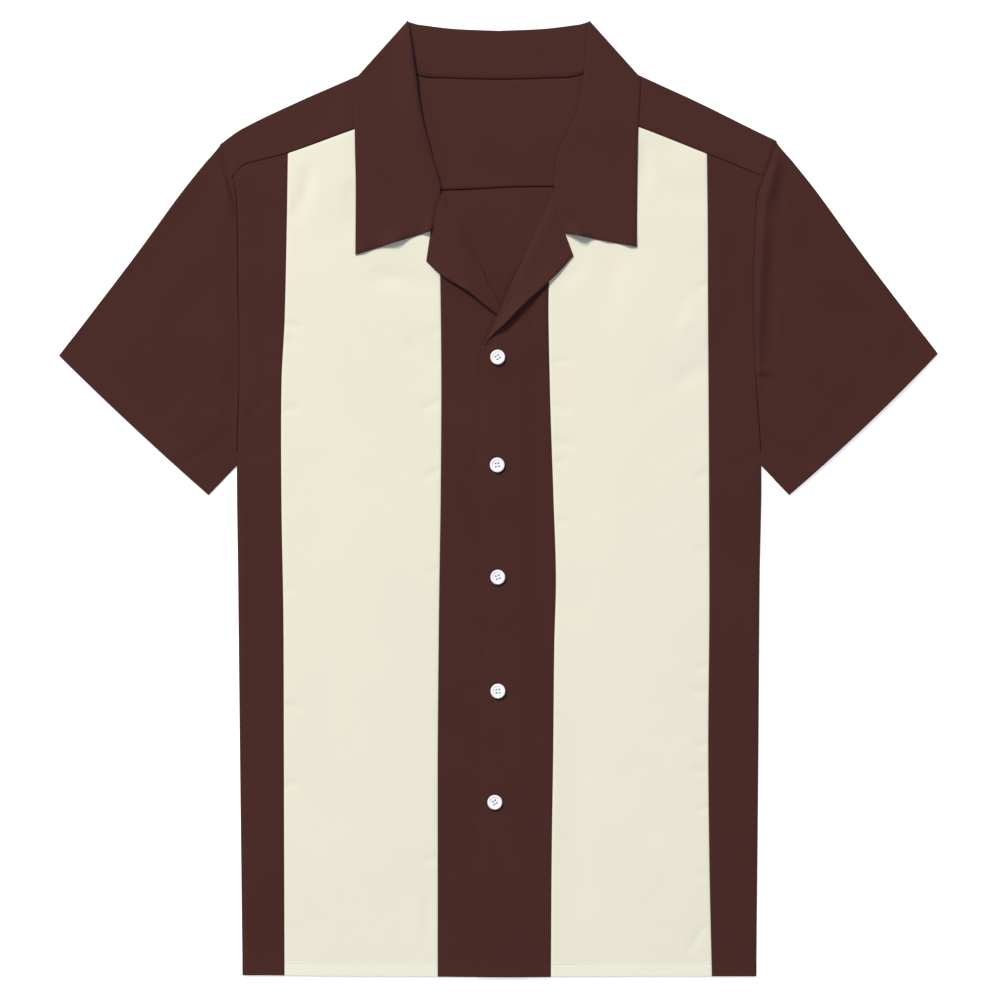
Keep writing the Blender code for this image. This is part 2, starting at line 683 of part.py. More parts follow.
def collar_side_station(side, step):
    """Section across the collar where it folds round the side of the neck."""
    sign = SIDES[side]
    angle = math.radians(step)
    top = Vector((sign * COLLAR_FOLD_TOP[0], COLLAR_FOLD_TOP[1], 0.0))
    stand_foot = Vector((sign * COLLAR_STAND_FOOT[0], COLLAR_STAND_FOOT[1], 0.0))
    fall_foot = Vector((sign * COLLAR_FALL_FOOT[0], COLLAR_FALL_FOOT[1], 0.0))
    middle = Vector((0.0, 0.0, WALL / 2 + 1.5 * LAYER))

    def leaf(foot, radius, shares):
        along = (foot - top).normalized()
        outward = Vector((sign * -along.y, sign * along.x, 0.0))
        if outward.x * sign < 0:
            outward = -outward
        shift = outward * (radius * math.cos(angle)) + Vector((0, 0, radius * math.sin(angle)))
        return [top.lerp(foot, share) + shift + middle for share in shares]

    stand = leaf(stand_foot, LAYER / 2, STAND_SHARES)
    fall = leaf(fall_foot, 1.5 * LAYER, FALL_SHARES)
    across, up = COLLAR_SIDE_BULGE
    return rolled_section(stand, fall, Vector((sign * across, up, 0.0)))


def collar_back_station(across):
    """Section across the collar behind the neck, with its fall folded away underneath."""
    roll_across, edge_across = across * FOLD_SPREAD, across * FALL_SPREAD
    roll_up = follow(BACK_COLLAR, abs(roll_across), "fold") - LAYER / 2 - WALL / 2
    roll = Vector((roll_across, roll_up, 0.0))
    neck = Vector((across, follow(BACK_COLLAR, abs(across), "neck") + GAP, 0.0))
    edge = Vector((edge_across, follow(BACK_COLLAR, abs(edge_across), "fall"), 0.0))
    stand_shares = STAND_SHARES[:-1] + (0.0,)
    fall_shares = (0.0,) + FALL_SHARES[1:]
    stand = [roll.lerp(neck, part) + Vector((0, 0, LAYER + WALL / 2)) for part in stand_shares]
    fall = [roll.lerp(edge, part) + Vector((0, 0, WALL / 2)) for part in fall_shares]
    return rolled_section(stand, fall, Vector((0.0, 1.0, 0.0)))


def make_collar(finish):
    """One-piece camp collar: from one notch, round the neck, to the other notch."""
    fronts = {}
    for side in SIDES:
        fronts[side] = [
            collar_front_station(side, row, flat=number < 2 * COLLAR_FLAT_ROWS)
            for number, row in enumerate(collar_rows(side))
        ]
    stations = list(fronts["right"])
    stations += [collar_side_station("right", step) for step in SIDE_FOLD_STEPS]
    stations += [collar_back_station(across) for across in NECK_STOPS]
    stations += [collar_side_station("left", step) for step in reversed(SIDE_FOLD_STEPS)]
    stations += reversed(fronts["left"])
    longest = max(len(station) for station in stations)
    points, cells = {}, []
    for i, station in enumerate(stations):
        skip = longest - len(station)
        for j, point in enumerate(station):
            points[i, j + skip] = point
    for i in range(len(stations) - 1):
        for j in range(longest - 1):
            cell = ((i, j), (i + 1, j), (i + 1, j + 1), (i, j + 1))
            if all(key in points for key in cell):
                cells.append(cell)
    cloth_wall("collar", points, cells, finish)


def make_lapel(side, finish):
    """Lapel turned back along its roll line; the part past the roll meets the centre panel's edge."""
    sign = SIDES[side]
    level = front_bed if side == "right" else top_front_bed
    points = {}
    for i, row in enumerate(LAPELS[side]):
        radius = (LAYER + row.lift) / 2
        roll = Vector((sign * row.roll_reach, row.roll_up))
        edge = Vector((sign * row.edge_reach, row.edge_up))
        inset = min(radius + WALL / 2, LAPEL_INSET * (edge - roll).length)
        start = Vector((roll.x + sign * inset, roll.y))
        fall = []
        for share in LAPEL_SHARES:
            spot = start.lerp(edge, 0.0 if share == LAPEL_SHARES[0] else share)
            lift = row.lift * math.exp(-(((spot - start).length / LIFT_REACH) ** 2))
            fall.append(Vector((spot.x, spot.y, level(*spot) + LAYER + WALL / 2 + lift)))
        turn = Vector((roll.x + sign * LAPEL_TURN, roll.y))
        stand = [Vector((turn.x, turn.y, level(*turn) + WALL / 2))]
        stand.append(Vector((start.x, start.y, fall[0].z - 2 * radius)))
        for j, point in enumerate(rolled_section(stand, fall, Vector((-sign, 0.0, 0.0)))):
            points[i, j] = point
    last = max(j for _, j in points)
    cloth_wall(f"{side}_lapel", points, grid_cells(len(LAPELS[side]) - 1, last), finish)


def make_button_holes():
    """Four pins that cut a button's holes; not part of the shirt."""
    pins = bmesh.new()
    for across in (-BUTTON_HOLE_SPREAD, BUTTON_HOLE_SPREAD):
        for up in (-BUTTON_HOLE_SPREAD, BUTTON_HOLE_SPREAD):
            made = bmesh.ops.create_cone(
                pins,
                cap_ends=True,
                segments=BUTTON_HOLE_SIDES,
                radius1=BUTTON_HOLE_RADIUS * MM,
                radius2=BUTTON_HOLE_RADIUS * MM,
                depth=BUTTON_PIN * MM,
            )
            bmesh.ops.translate(pins, verts=made["verts"], vec=Vector((across, up, BUTTON_PIN_MIDDLE)) * MM)
    mesh = bpy.data.meshes.new("button_hole_pins")
    pins.to_mesh(mesh)
    pins.free()
    cutter = bpy.data.objects.new("button_hole_pins", mesh)
    bpy.context.scene.collection.objects.link(cutter)
    cutter.hide_render = True
    cutter.display_type = "WIRE"
    return cutter


def make_button(number, row, finish):
    """Round four-hole button, resting on the placket over its buttonhole."""
    disc = bmesh.new()
    rings = []
    for step in BUTTON_PROFILE:
        ring = []
        for k in range(BUTTON_SIDES):
            angle = math.tau * k / BUTTON_SIDES
            spot = Vector((step.radius * math.cos(angle), step.radius * math.sin(angle), step.height))
            ring.append(disc.verts.new(spot * MM))
        rings.append(ring)
    for lower, upper in zip(rings, rings[1:]):
        for k in range(BUTTON_SIDES):
            after = (k + 1) % BUTTON_SIDES
            disc.faces.new((lower[k], lower[after], upper[after], upper[k]))
    disc.faces.new(list(reversed(rings[0])))
    disc.faces.new(rings[-1])
    mesh = bpy.data.meshes.new(f"button_{number}")
    disc.to_mesh(mesh)
    disc.free()
    mesh.shade_smooth()
    mesh.set_sharp_from_angle(angle=math.radians(BUTTON_SHARP))
    button = add_object(f"button_{number}", mesh, finish)
    x = BUTTON_LINE + row.across
    y = TOP_BUTTON - (number - 1) * BUTTON_PITCH + row.nudge
    steps = (-BUTTON_SEAT, 0.0, BUTTON_SEAT)
    highest = max(top_front_bed(x + across, y + up) for across in steps for up in steps)
    seat = highest + WALL + BUTTON_CLEARANCE
    button.location = place(x, y, seat)
    cutter = make_button_holes()
    cutter.parent = button
    cut = button.modifiers.new("holes", "BOOLEAN")
    cut.operation = "DIFFERENCE"
    cut.solver = "EXACT"
    cut.object = cutter


def main():
    """Clear the scene and build every piece."""
    for stale in list(bpy.data.objects):
        bpy.data.objects.remove(stale)
    brown = material("brown_poplin", BROWN, 0.85)
    cream = material("cream_poplin", CREAM, 0.85)
    white = material("white_button", WHITE, 0.3)
    make_back(brown)
    make_yoke(brown)
    for side in SIDES:
        make_front_side(side, brown)
        make_front_stripe(side, cream)
        make_front_centre(side, brown)
        make_sleeve(side, brown)
        make_lapel(side, brown)
    make_collar(brown)
    for number, row in enumerate(BUTTONS, start=1):
        make_button(number, row, white)


main()
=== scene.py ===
"""Camp-collar bowling shirt laid flat on its back: cloth, stitching, buttons and a plain studio.

Lengths are millimetres until a piece is placed. X runs across, to the wearer's left. Y runs up the shirt from
the hem. Z is height above the surface that the shirt lies on. "Reach" is a distance from the shirt's middle
line towards a named side. Each cloth piece is a thin wall round a middle surface: a grid of columns and rows.
"""
import logging
import math
from dataclasses import dataclass, field, replace
from enum import Enum
from typing import Callable, NamedTuple, Sequence

import bmesh
import bpy
import numpy as np
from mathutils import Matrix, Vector


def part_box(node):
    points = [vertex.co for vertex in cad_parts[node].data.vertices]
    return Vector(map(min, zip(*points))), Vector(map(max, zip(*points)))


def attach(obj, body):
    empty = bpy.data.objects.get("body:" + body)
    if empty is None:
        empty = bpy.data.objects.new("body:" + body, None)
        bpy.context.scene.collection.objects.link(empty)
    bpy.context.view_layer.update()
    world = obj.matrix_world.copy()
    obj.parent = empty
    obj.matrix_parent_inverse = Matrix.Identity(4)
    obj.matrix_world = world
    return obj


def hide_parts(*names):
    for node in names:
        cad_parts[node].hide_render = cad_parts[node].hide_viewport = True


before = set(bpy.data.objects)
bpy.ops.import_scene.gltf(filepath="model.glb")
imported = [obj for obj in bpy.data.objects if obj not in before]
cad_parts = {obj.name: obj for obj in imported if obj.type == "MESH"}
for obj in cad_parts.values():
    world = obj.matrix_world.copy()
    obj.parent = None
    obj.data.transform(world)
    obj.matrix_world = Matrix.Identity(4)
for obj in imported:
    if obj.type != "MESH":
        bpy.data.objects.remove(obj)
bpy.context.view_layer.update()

BODY = "root"
MM = 0.001
HEM_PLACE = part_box("back")[0].y  # where the hem lies in the frame, metres
WALL = 1.0  # cloth wall of the plain solids
GAP = 0.3
LAYER = WALL + GAP  # from one layer of cloth to the next
SEAM = 0.05  # each sewn edge stops this short of its seam
CLEAR = 0.02  # least height of cloth over the surface
RIM_BULGE = 0.6  # how far a cut edge's middle stands out, as a share of half its wall
GRAIN_MAP = "cut"
DOUBLED = "doubled"

log = logging.getLogger("bowling_shirt")
Array = np.ndarray
Numbers = Array | float
Plan = Callable[[Array], Array]
Level = Callable[[Array, Array], Array]
Material = bpy.types.Material
Piece = bpy.types.Object
Socket = bpy.types.NodeSocket


class Side(Enum):
    """The wearer's sides, each with the sign that X has there."""

    RIGHT = -1
    LEFT = 1

    @property
    def label(self) -> str:
        """Name of the side in tables and node names."""
        return self.name.lower()


class Layer(Enum):
    """Layers of cloth that have creases of their own."""

    BACK = "back"
    FRONT = "front"
    SLEEVE = "sleeve"
    COLLAR = "collar"


# ---- The cut ----


class EdgeRow(NamedTuple):
    """Reach of an edge on each side, at a height."""

    height: float
    right: float
    left: float


class AcrossRow(NamedTuple):
    """Height of an edge on each side, at a reach."""

    reach: float
    right: float
    left: float


class NeckRow(NamedTuple):
    """Reach of the front neck seam at a height."""

    height: float
    reach: float


class BackRow(NamedTuple):
    """Heights of the neck seam, the collar's fold and its fall's edge behind the neck."""

    reach: float
    neck: float
    fold: float
    fall: float


class LeafRow(NamedTuple):
    """A row of a collar or lapel: where it rolls over, its free edge, and how high each stands."""

    roll_reach: float
    roll_up: float
    edge_reach: float
    edge_up: float
    lift: float
    edge_lift: float = 0.0


class FootWave(NamedTuple):
    """A wave in the lower edge of the collar's fall, placed by its share of the edge's length."""

    share: float
    spread: float
    rise: float


class Swell(NamedTuple):
    """A soft swell where the front stands a little off the back."""

    across: float
    up: float
    half_across: float
    half_up: float
    rise: float


class Crease(NamedTuple):
    """A soft trough, or a ridge where rise is above 0, from one place to another."""

    x: float
    up: float
    to_x: float
    to_up: float
    half_width: float
    rise: float
    bow: float = 0.0


def smooth(share: Numbers) -> Array:
    """Ease from 0 to 1 as the share goes from 0 to 1."""
    held = np.clip(share, 0.0, 1.0)
    return held * held * (3.0 - 2.0 * held)


def hump(distance: Numbers, width: float) -> Array:
    """Bell curve: 1 at no distance, nearly 0 at twice the width."""
    return np.exp(-((np.asarray(distance) / width) ** 2))


def curve(keys: Array, values: Array, place: Numbers) -> Array:
    """Read a smooth curve through given points.

    Args:
        keys: where the points are, rising.
        values: the curve's value at each point.
        place: places to read it at, held between the first and last point.

    Returns:
        The curve's value at each place.
    """
    last = len(keys) - 1
    index = np.arange(last + 1)
    before, after = np.maximum(index - 1, 0), np.minimum(index + 1, last)
    slopes = (values[after] - values[before]) / (keys[after] - keys[before])
    at = np.clip(place, keys[0], keys[-1])
    low = np.clip(np.searchsorted(keys, at, side="right") - 1, 0, last - 1)
    span = keys[low + 1] - keys[low]
    t = (at - keys[low]) / span
    bend = (2 * t**3 - 3 * t**2 + 1) * values[low] + (3 * t**2 - 2 * t**3) * values[low + 1]
    lean = (t**3 - 2 * t**2 + t) * slopes[low] + (t**3 - t**2) * slopes[low + 1]
    return bend + span * lean


def follow(rows: Sequence[NamedTuple], place: Numbers, column: str) -> Array:
    """Read a table's column, curved between its rows.

    Args:
        rows: table whose first column rises from row to row.
        place: places along the first column.
        column: name of the column to read.

    Returns:
        The column's value at each place.
    """
    keys = np.array([row[0] for row in rows], dtype=float)
    values = np.array([getattr(row, column) for row in rows], dtype=float)
    return curve(keys, values, place)


def table(kind: type[NamedTuple], *rows: tuple[float, ...]) -> tuple:
    """Rows of one kind, from their plain numbers."""
    return tuple(kind(*row) for row in rows)


@dataclass(frozen=True)
class Cut:
    """Outline and seam lines of the whole shirt, as it lies."""

    back_yoke_seam: float = 677.0
    seam_shift: float = 0.3
    seam_slant: float = 1.7
    slant_place: float = -14.0
    slant_run: float = 30.0
    foot_reach: float = 75.0  # of the back yoke seam below the neck's side
    foot_end: float = 226.0  # of the back yoke seam at the armhole
    neck_side: float = 88.5
    stripe_top: float = 181.0  # reach of the stripe's upper outer corner
    yoke_end: float = 228.0  # reach of the front yoke seam at the armhole
    placket_half: float = 16.0
    lapel_turn: float = 5.7
    hem_sag: float = 0.75  # in the middle
    hem_sag_place: float = 12.0
    hem_sag_spread: float = 70.0
    hem_rise: float = 0.9  # at the wearer's right
    hem_rise_from: float = -140.0
    hem_rise_run: float = 60.0
    hem_fade: float = 55.0  # height by which both are gone
    body_edge: tuple[EdgeRow, ...] = table(
        EdgeRow,
        (0, 220.0, 221.5), (190, 222.2, 223.3), (340, 223.8, 224.4), (440, 224.9, 225.8),
        (520, 223.2, 221.1), (590, 224.0, 219.7), (640, 224.5, 221.1), (672, 225.8, 223.0),
        (686, 229.0, 228.3), (716, 240.2, 239.1),
    )
    stripe_outer: tuple[EdgeRow, ...] = table(
        EdgeRow,
        (0, 183.9, 183.4), (95, 184.2, 181.3), (200, 184.5, 180.3), (310, 184.9, 181.2),
        (410, 186.6, 181.0), (510, 186.5, 180.5), (565, 183.8, 180.1), (648, 181.9, 179.8),
        (708, 181.0, 179.1),
    )
    stripe_inner: tuple[EdgeRow, ...] = table(
        EdgeRow,
        (0, 52.3, 45.1), (107, 52.3, 45.8), (189, 52.3, 47.0), (285, 51.5, 48.0), (343, 50.8, 49.4),
        (410, 49.8, 47.3), (510, 49.2, 43.9), (600, 50.1, 42.6), (676, 52.0, 50.0),
    )
    front_edge: tuple[EdgeRow, ...] = table(
        EdgeRow,
        (0, -16.0, -18.5), (32, -16.0, -20.4), (106, -16.0, -20.4), (163, -16.0, -19.6),
        (226, -16.0, -18.1), (298, -16.0, -13.3), (358, -16.0, -16.8), (458, -16.0, -20.2),
        (500, -16.0, -16.8), (534, -16.0, -15.0),
    )
    shoulder: tuple[AcrossRow, ...] = table(
        AcrossRow,
        (88.5, 789.0, 790.0), (121.0, 774.0, 774.4), (170.0, 752.7, 752.0), (220.6, 728.4, 727.0),
        (240.2, 714.5, 717.6),
    )
    yoke_seam: tuple[AcrossRow, ...] = table(
        AcrossRow,
        (83.3, 741.0, 742.0), (122.0, 728.8, 729.5), (180.0, 708.0, 706.8), (205.0, 701.5, 696.8),
        (221.0, 696.0, 690.0), (228.6, 686.0, 687.0),
    )
    front_neck: tuple[NeckRow, ...] = table(
        NeckRow,
        (676, 52.6), (706, 67.0), (741, 83.3), (789, 88.5),
    )
    back_collar: tuple[BackRow, ...] = table(
        BackRow,
        (0, 771.0, 812.8, 742.0), (40, 772.0, 814.6, 745.0), (71, 775.0, 818.4, 751.0),
        (88.5, 789.0, 820.2, 758.0), (121, 789.0, 819.0, 774.0),
    )

    def neck_reach(self, height: Numbers) -> Array:
        """Reach of the front neck seam, straight between its rows."""
        rows = self.front_neck
        return np.interp(height, [row.height for row in rows], [row.reach for row in rows])

    def inner_seam(self, across: Numbers) -> Array:
        """Height of the back yoke seam, which lies a little higher on the wearer's left."""
        slant = np.tanh((np.asarray(across) - self.slant_place) / self.slant_run)
        return self.back_yoke_seam + self.seam_shift + self.seam_slant * slant

    def hem(self, x: Array, y: Array) -> Array:
        """How far cloth near the hem lies above or below where a straight hem would put it."""
        sag = self.hem_sag * hump(x - self.hem_sag_place, self.hem_sag_spread)
        rise = self.hem_rise * smooth((self.hem_rise_from - x) / self.hem_rise_run)
        return (rise - sag) * smooth(1.0 - y / self.hem_fade)

    def body(self, side: Side, height: Numbers) -> Array:
        """Reach of the side seam and armhole."""
        return follow(self.body_edge, height, side.label)


CUT = Cut()

BREAK = {Side.RIGHT: 546.0, Side.LEFT: 542.4}  # height where each lapel starts to turn back
COLLAR_FRONT = {
    Side.RIGHT: table(
        LeafRow,
        (57.6, 640.7, 122.8, 620.1, 0.0), (53.7, 658.5, 122.6, 650.0, 0.1),
        (50.0, 677.5, 122.5, 682.0, 0.5), (55.9, 701.8, 123.1, 709.0, 2.8),
        (65.3, 739.2, 123.4, 735.0, 4.6), (71.0, 776.6, 122.8, 757.0, 4.6),
        (76.2, 811.0, 121.0, 772.0, 2.4),
    ),
    Side.LEFT: table(
        LeafRow,
        (57.2, 638.5, 118.6, 626.9, 0.0), (51.0, 652.0, 118.8, 653.0, 0.1),
        (48.2, 677.5, 119.1, 682.0, 0.2), (50.8, 705.5, 119.4, 709.0, 0.4),
        (65.8, 739.0, 120.2, 735.0, 0.6), (73.4, 777.0, 121.4, 757.0, 0.5),
        (76.8, 811.0, 121.6, 772.0, 0.2),
    ),
}
LAPELS = {
    Side.RIGHT: table(
        LeafRow,
        (47.0, 673.0, 51.3, 671.0, 0.1, 0.0), (43.0, 661.5, 57.5, 643.0, 0.2, 0.0),
        (32.5, 648.0, 61.9, 614.5, 0.3, 0.4), (24.3, 629.0, 50.3, 603.7, 0.3, 2.6),
        (17.0, 615.0, 37.0, 595.5, 0.3, 4.2), (10.5, 599.0, 24.5, 587.7, 0.2, 5.2),
        (1.3, 581.0, 11.5, 577.0, 0.1, 4.8), (-7.0, 565.0, -0.5, 567.0, 0.0, 0.6),
        (-13.2, 552.0, -9.4, 555.0, 0.0, 0.0),
    ),
    Side.LEFT: table(
        LeafRow,
        (45.2, 673.0, 48.6, 670.5, 0.1, 0.0), (42.0, 663.5, 50.8, 652.5, 0.2, 0.0),
        (38.5, 655.5, 56.3, 640.0, 0.4, 0.2), (34.8, 647.5, 64.1, 619.2, 0.2, 0.6),
        (27.0, 630.0, 50.5, 604.0, 0.2, 1.8), (18.5, 611.0, 35.0, 589.8, 0.3, 3.6),
        (9.5, 591.0, 18.5, 574.5, 0.8, 5.2), (0.5, 571.0, 5.5, 561.0, 0.8, 4.8),
        (-7.0, 554.0, -4.2, 552.4, 0.5, 1.4), (-12.6, 542.4, -11.6, 543.8, 0.1, 0.0),
    ),
}
FOOT_WAVES = {
    Side.RIGHT: (FootWave(0.05, 0.05, 4.2), FootWave(0.48, 0.14, 4.6), FootWave(0.90, 0.08, 1.2)),
    Side.LEFT: (FootWave(0.20, 0.13, 8.0), FootWave(0.58, 0.08, 1.4), FootWave(0.90, 0.09, 2.2)),
}
LAPEL_TIP = {Side.RIGHT: 2, Side.LEFT: 3}  # the row at the notch's corner
CUFF_UPPER = {Side.RIGHT: (377.7, 533.6), Side.LEFT: (377.6, 535.3)}
CUFF_LOWER = {Side.RIGHT: (249.2, 413.7), Side.LEFT: (249.8, 413.7)}
CUFF_BOW = {Side.RIGHT: 1.2, Side.LEFT: 2.3}  # how far each cuff bows out
SLEEVE_TOP = {Side.RIGHT: 714.0, Side.LEFT: 716.4}  # height of each armhole's upper end


def cuff_line(side: Side, share: Array) -> Array:
    """Plan points of a cuff, in reach and height, from its lower end to its upper one.

    Args:
        side: which sleeve.
        share: shares of the way up the cuff.

    Returns:
        A point for each share.
    """
    lower, upper = np.array(CUFF_LOWER[side]), np.array(CUFF_UPPER[side])
    way = upper - lower
    outward = np.array([way[1], -way[0]]) / np.linalg.norm(way)
    place = share[:, None]
    return lower * (1 - place) + upper * place + outward * (CUFF_BOW[side] * 4 * place * (1 - place))


# ---- How the layers lie ----

SWELLS = table(
    Swell,
    (-130, 600, 46, 90, 1.2), (-158, 684, 30, 44, 1.2), (-112, 330, 60, 150, 0.8),
    (-140, 90, 50, 60, 0.5), (128, 590, 40, 110, 1.3), (150, 680, 34, 40, 0.9),
    (118, 300, 56, 140, 0.7), (140, 110, 60, 70, 0.6), (20, 470, 26, 60, 0.5), (14, 200, 30, 90, 0.4),
)

CREASES = {
    Layer.FRONT: table(
        Crease,
        # right stripe: beside the yoke and the collar, then small puckers along its two seams
        (-162, 698, -174, 652, 6.5, -1.3, 2.0), (-126, 684, -125, 640, 7.0, -1.2),
        (-112, 600, -58, 592, 8.5, -1.05, 4.0), (-82, 546, -52, 529, 10.0, -0.75, 2.0),
        (-184, 561, -168, 556, 2.6, -0.75), (-184, 548, -172, 542, 2.2, -0.6),
        (-186, 486, -171, 489, 2.8, -0.75), (-184, 330, -174, 333, 2.4, -0.45),
        (-184, 234, -171, 230, 2.6, -0.6), (-184, 163, -173, 166, 2.4, -0.65),
        (-49, 556, -63, 550, 2.4, -0.55), (-49, 526, -60, 529, 2.2, -0.5),
        (-49, 496, -66, 487, 3.4, -0.75), (-50, 436, -64, 428, 2.8, -0.6),
        (-52, 350, -60, 346, 2.4, -0.4), (-52, 102, -65, 98, 2.6, -0.55),
        (-62, 68, -60, 34, 3.6, -0.6), (-170, 452, -150, 372, 22.0, -0.6, 6.0),
        (-128, 420, -96, 300, 17.0, 0.55, 9.0), (-150, 250, -124, 118, 15.0, -0.5, -8.0),
        # left stripe
        (124, 718, 128, 676, 5.5, -1.1), (130, 672, 180, 668, 14.0, -0.95, 3.0),
        (156, 566, 186, 552, 20.0, 0.85, 3.0), (184, 524, 150, 506, 8.0, -0.8, -3.0),
        (103, 626, 96, 560, 13.0, -0.95, -3.0), (72, 606, 54, 596, 5.0, -0.6, -2.0),
        (45, 527, 62, 530, 2.4, -0.6), (45, 492, 60, 484, 3.2, -0.7), (46, 462, 66, 455, 3.4, -0.75),
        (47, 440, 58, 443, 2.2, -0.5), (49, 392, 61, 389, 2.4, -0.5),
        (181, 596, 170, 590, 3.0, -0.6), (181, 434, 169, 427, 3.0, -0.65),
        (181, 365, 168, 368, 2.6, -0.5), (181, 267, 169, 263, 2.4, -0.55),
        (180, 242, 166, 246, 2.8, -0.6), (180, 200, 169, 196, 2.4, -0.55),
        (181, 175, 166, 178, 2.8, -0.6), (181, 146, 170, 142, 2.4, -0.5),
        (182, 84, 169, 88, 2.6, -0.55), (62, 236, 66, 36, 12.0, -0.6, 3.0),
        (179, 43, 167, 30, 2.6, -0.65), (172, 33, 163, 21, 2.4, -0.55),
        (92, 430, 120, 300, 16.0, 0.45, -8.0),
        # centre panels: small pulls beside the buttons
        (-34, 452, -14, 446, 3.4, -0.4), (-30, 436, -16, 431, 2.6, -0.34),
        (8, 440, 30, 446, 4.0, -0.34), (-30, 348, -14, 342, 3.0, -0.3), (6, 344, 27, 338, 3.6, -0.3),
        (-33, 246, -12, 243, 3.4, -0.3), (6, 240, 28, 247, 3.6, -0.3), (12, 60, 34, 42, 5.0, -0.36),
        (-40, 80, -30, 30, 5.0, -0.3),
        # side panels: from the underarms and beside the armholes
        (-220, 470, -196, 500, 4.0, -0.5, 2.0), (-222, 448, -192, 452, 4.4, -0.45, -2.0),
        (-222, 572, -223, 504, 2.6, -0.9), (-205, 660, -207, 560, 5.5, -0.4, 3.0),
        (221, 466, 198, 494, 4.0, -0.5, -2.0), (222, 446, 194, 436, 4.6, -0.45, 2.0),
        (206, 668, 204, 566, 5.5, -0.4, -3.0), (-203, 380, -200, 250, 6.5, 0.36, 2.0),
        (203, 330, 201, 190, 6.5, 0.36, -2.0),
    ),
    Layer.BACK: table(
        Crease,
        (-216, 452, -120, 540, 9.0, 0.34, 10.0), (-212, 440, -96, 470, 8.0, 0.28, -8.0),
        (214, 450, 132, 552, 9.5, 0.34, -9.0), (212, 436, 104, 458, 8.0, 0.28, 8.0),
        (-70, 660, -58, 470, 14.0, 0.26, 6.0), (64, 650, 74, 440, 13.0, 0.26, -6.0),
        (-30, 380, -52, 150, 15.0, 0.24, 10.0), (88, 340, 60, 120, 14.0, 0.24, -9.0),
        (-168, 330, -150, 180, 12.0, 0.24, 6.0), (160, 300, 176, 150, 12.0, 0.24, 5.0),
    ),
    Layer.SLEEVE: table(
        Crease,
        (-236, 702, -226, 664, 2.1, -4.2, -0.6), (-234, 692, -230, 656, 7.0, 2.2),
        (-229, 470, -286, 436, 4.6, -0.6, 4.0), (-236, 520, -300, 470, 7.0, -0.45, -6.0),
        (-262, 668, -312, 590, 10.0, -0.4, 6.0), (-330, 560, -296, 500, 8.0, 0.34, 5.0),
        # left armhole: a soft fold of the sleeve beside its seam, a furrow outside it, and a pucker
        (238, 714, 229, 662, 5.2, 4.2, 1.2), (229, 672, 222, 520, 5.2, 4.2, -1.2),
        (250, 706, 241, 662, 4.6, -1.0, 1.2), (241, 668, 234, 522, 4.6, -1.0, -1.2),
        (219, 522, 237, 519, 2.6, 1.6), (219, 516, 237, 513, 2.0, -2.6),
        (222, 508, 232, 492, 2.6, -0.6), (229, 468, 280, 438, 4.6, -0.6, -4.0),
        (252, 640, 316, 560, 10.0, -0.4, -7.0), (326, 560, 290, 492, 8.0, 0.34, -5.0),
    ),
    Layer.COLLAR: table(
        Crease,
        (-96, 772, -104, 700, 9.0, 0.22, 3.0), (-84, 690, -100, 640, 7.0, -0.16, -2.0),
        (98, 770, 92, 704, 9.0, 0.22, -3.0), (84, 694, 101, 644, 7.0, -0.16, 2.0),
    ),
}


class Ripple(NamedTuple):
    """One wave of the cloth's slight unevenness."""

    length: float
    heading: float
    phase: float
    rise: float


RIPPLES = table(
    Ripple,
    (118, 0.35, 0.4, 0.055), (74, 1.25, 2.1, 0.045), (47, 2.30, 4.0, 0.030), (29, 0.85, 1.3, 0.016),
    (19, 2.75, 5.2, 0.009),
)


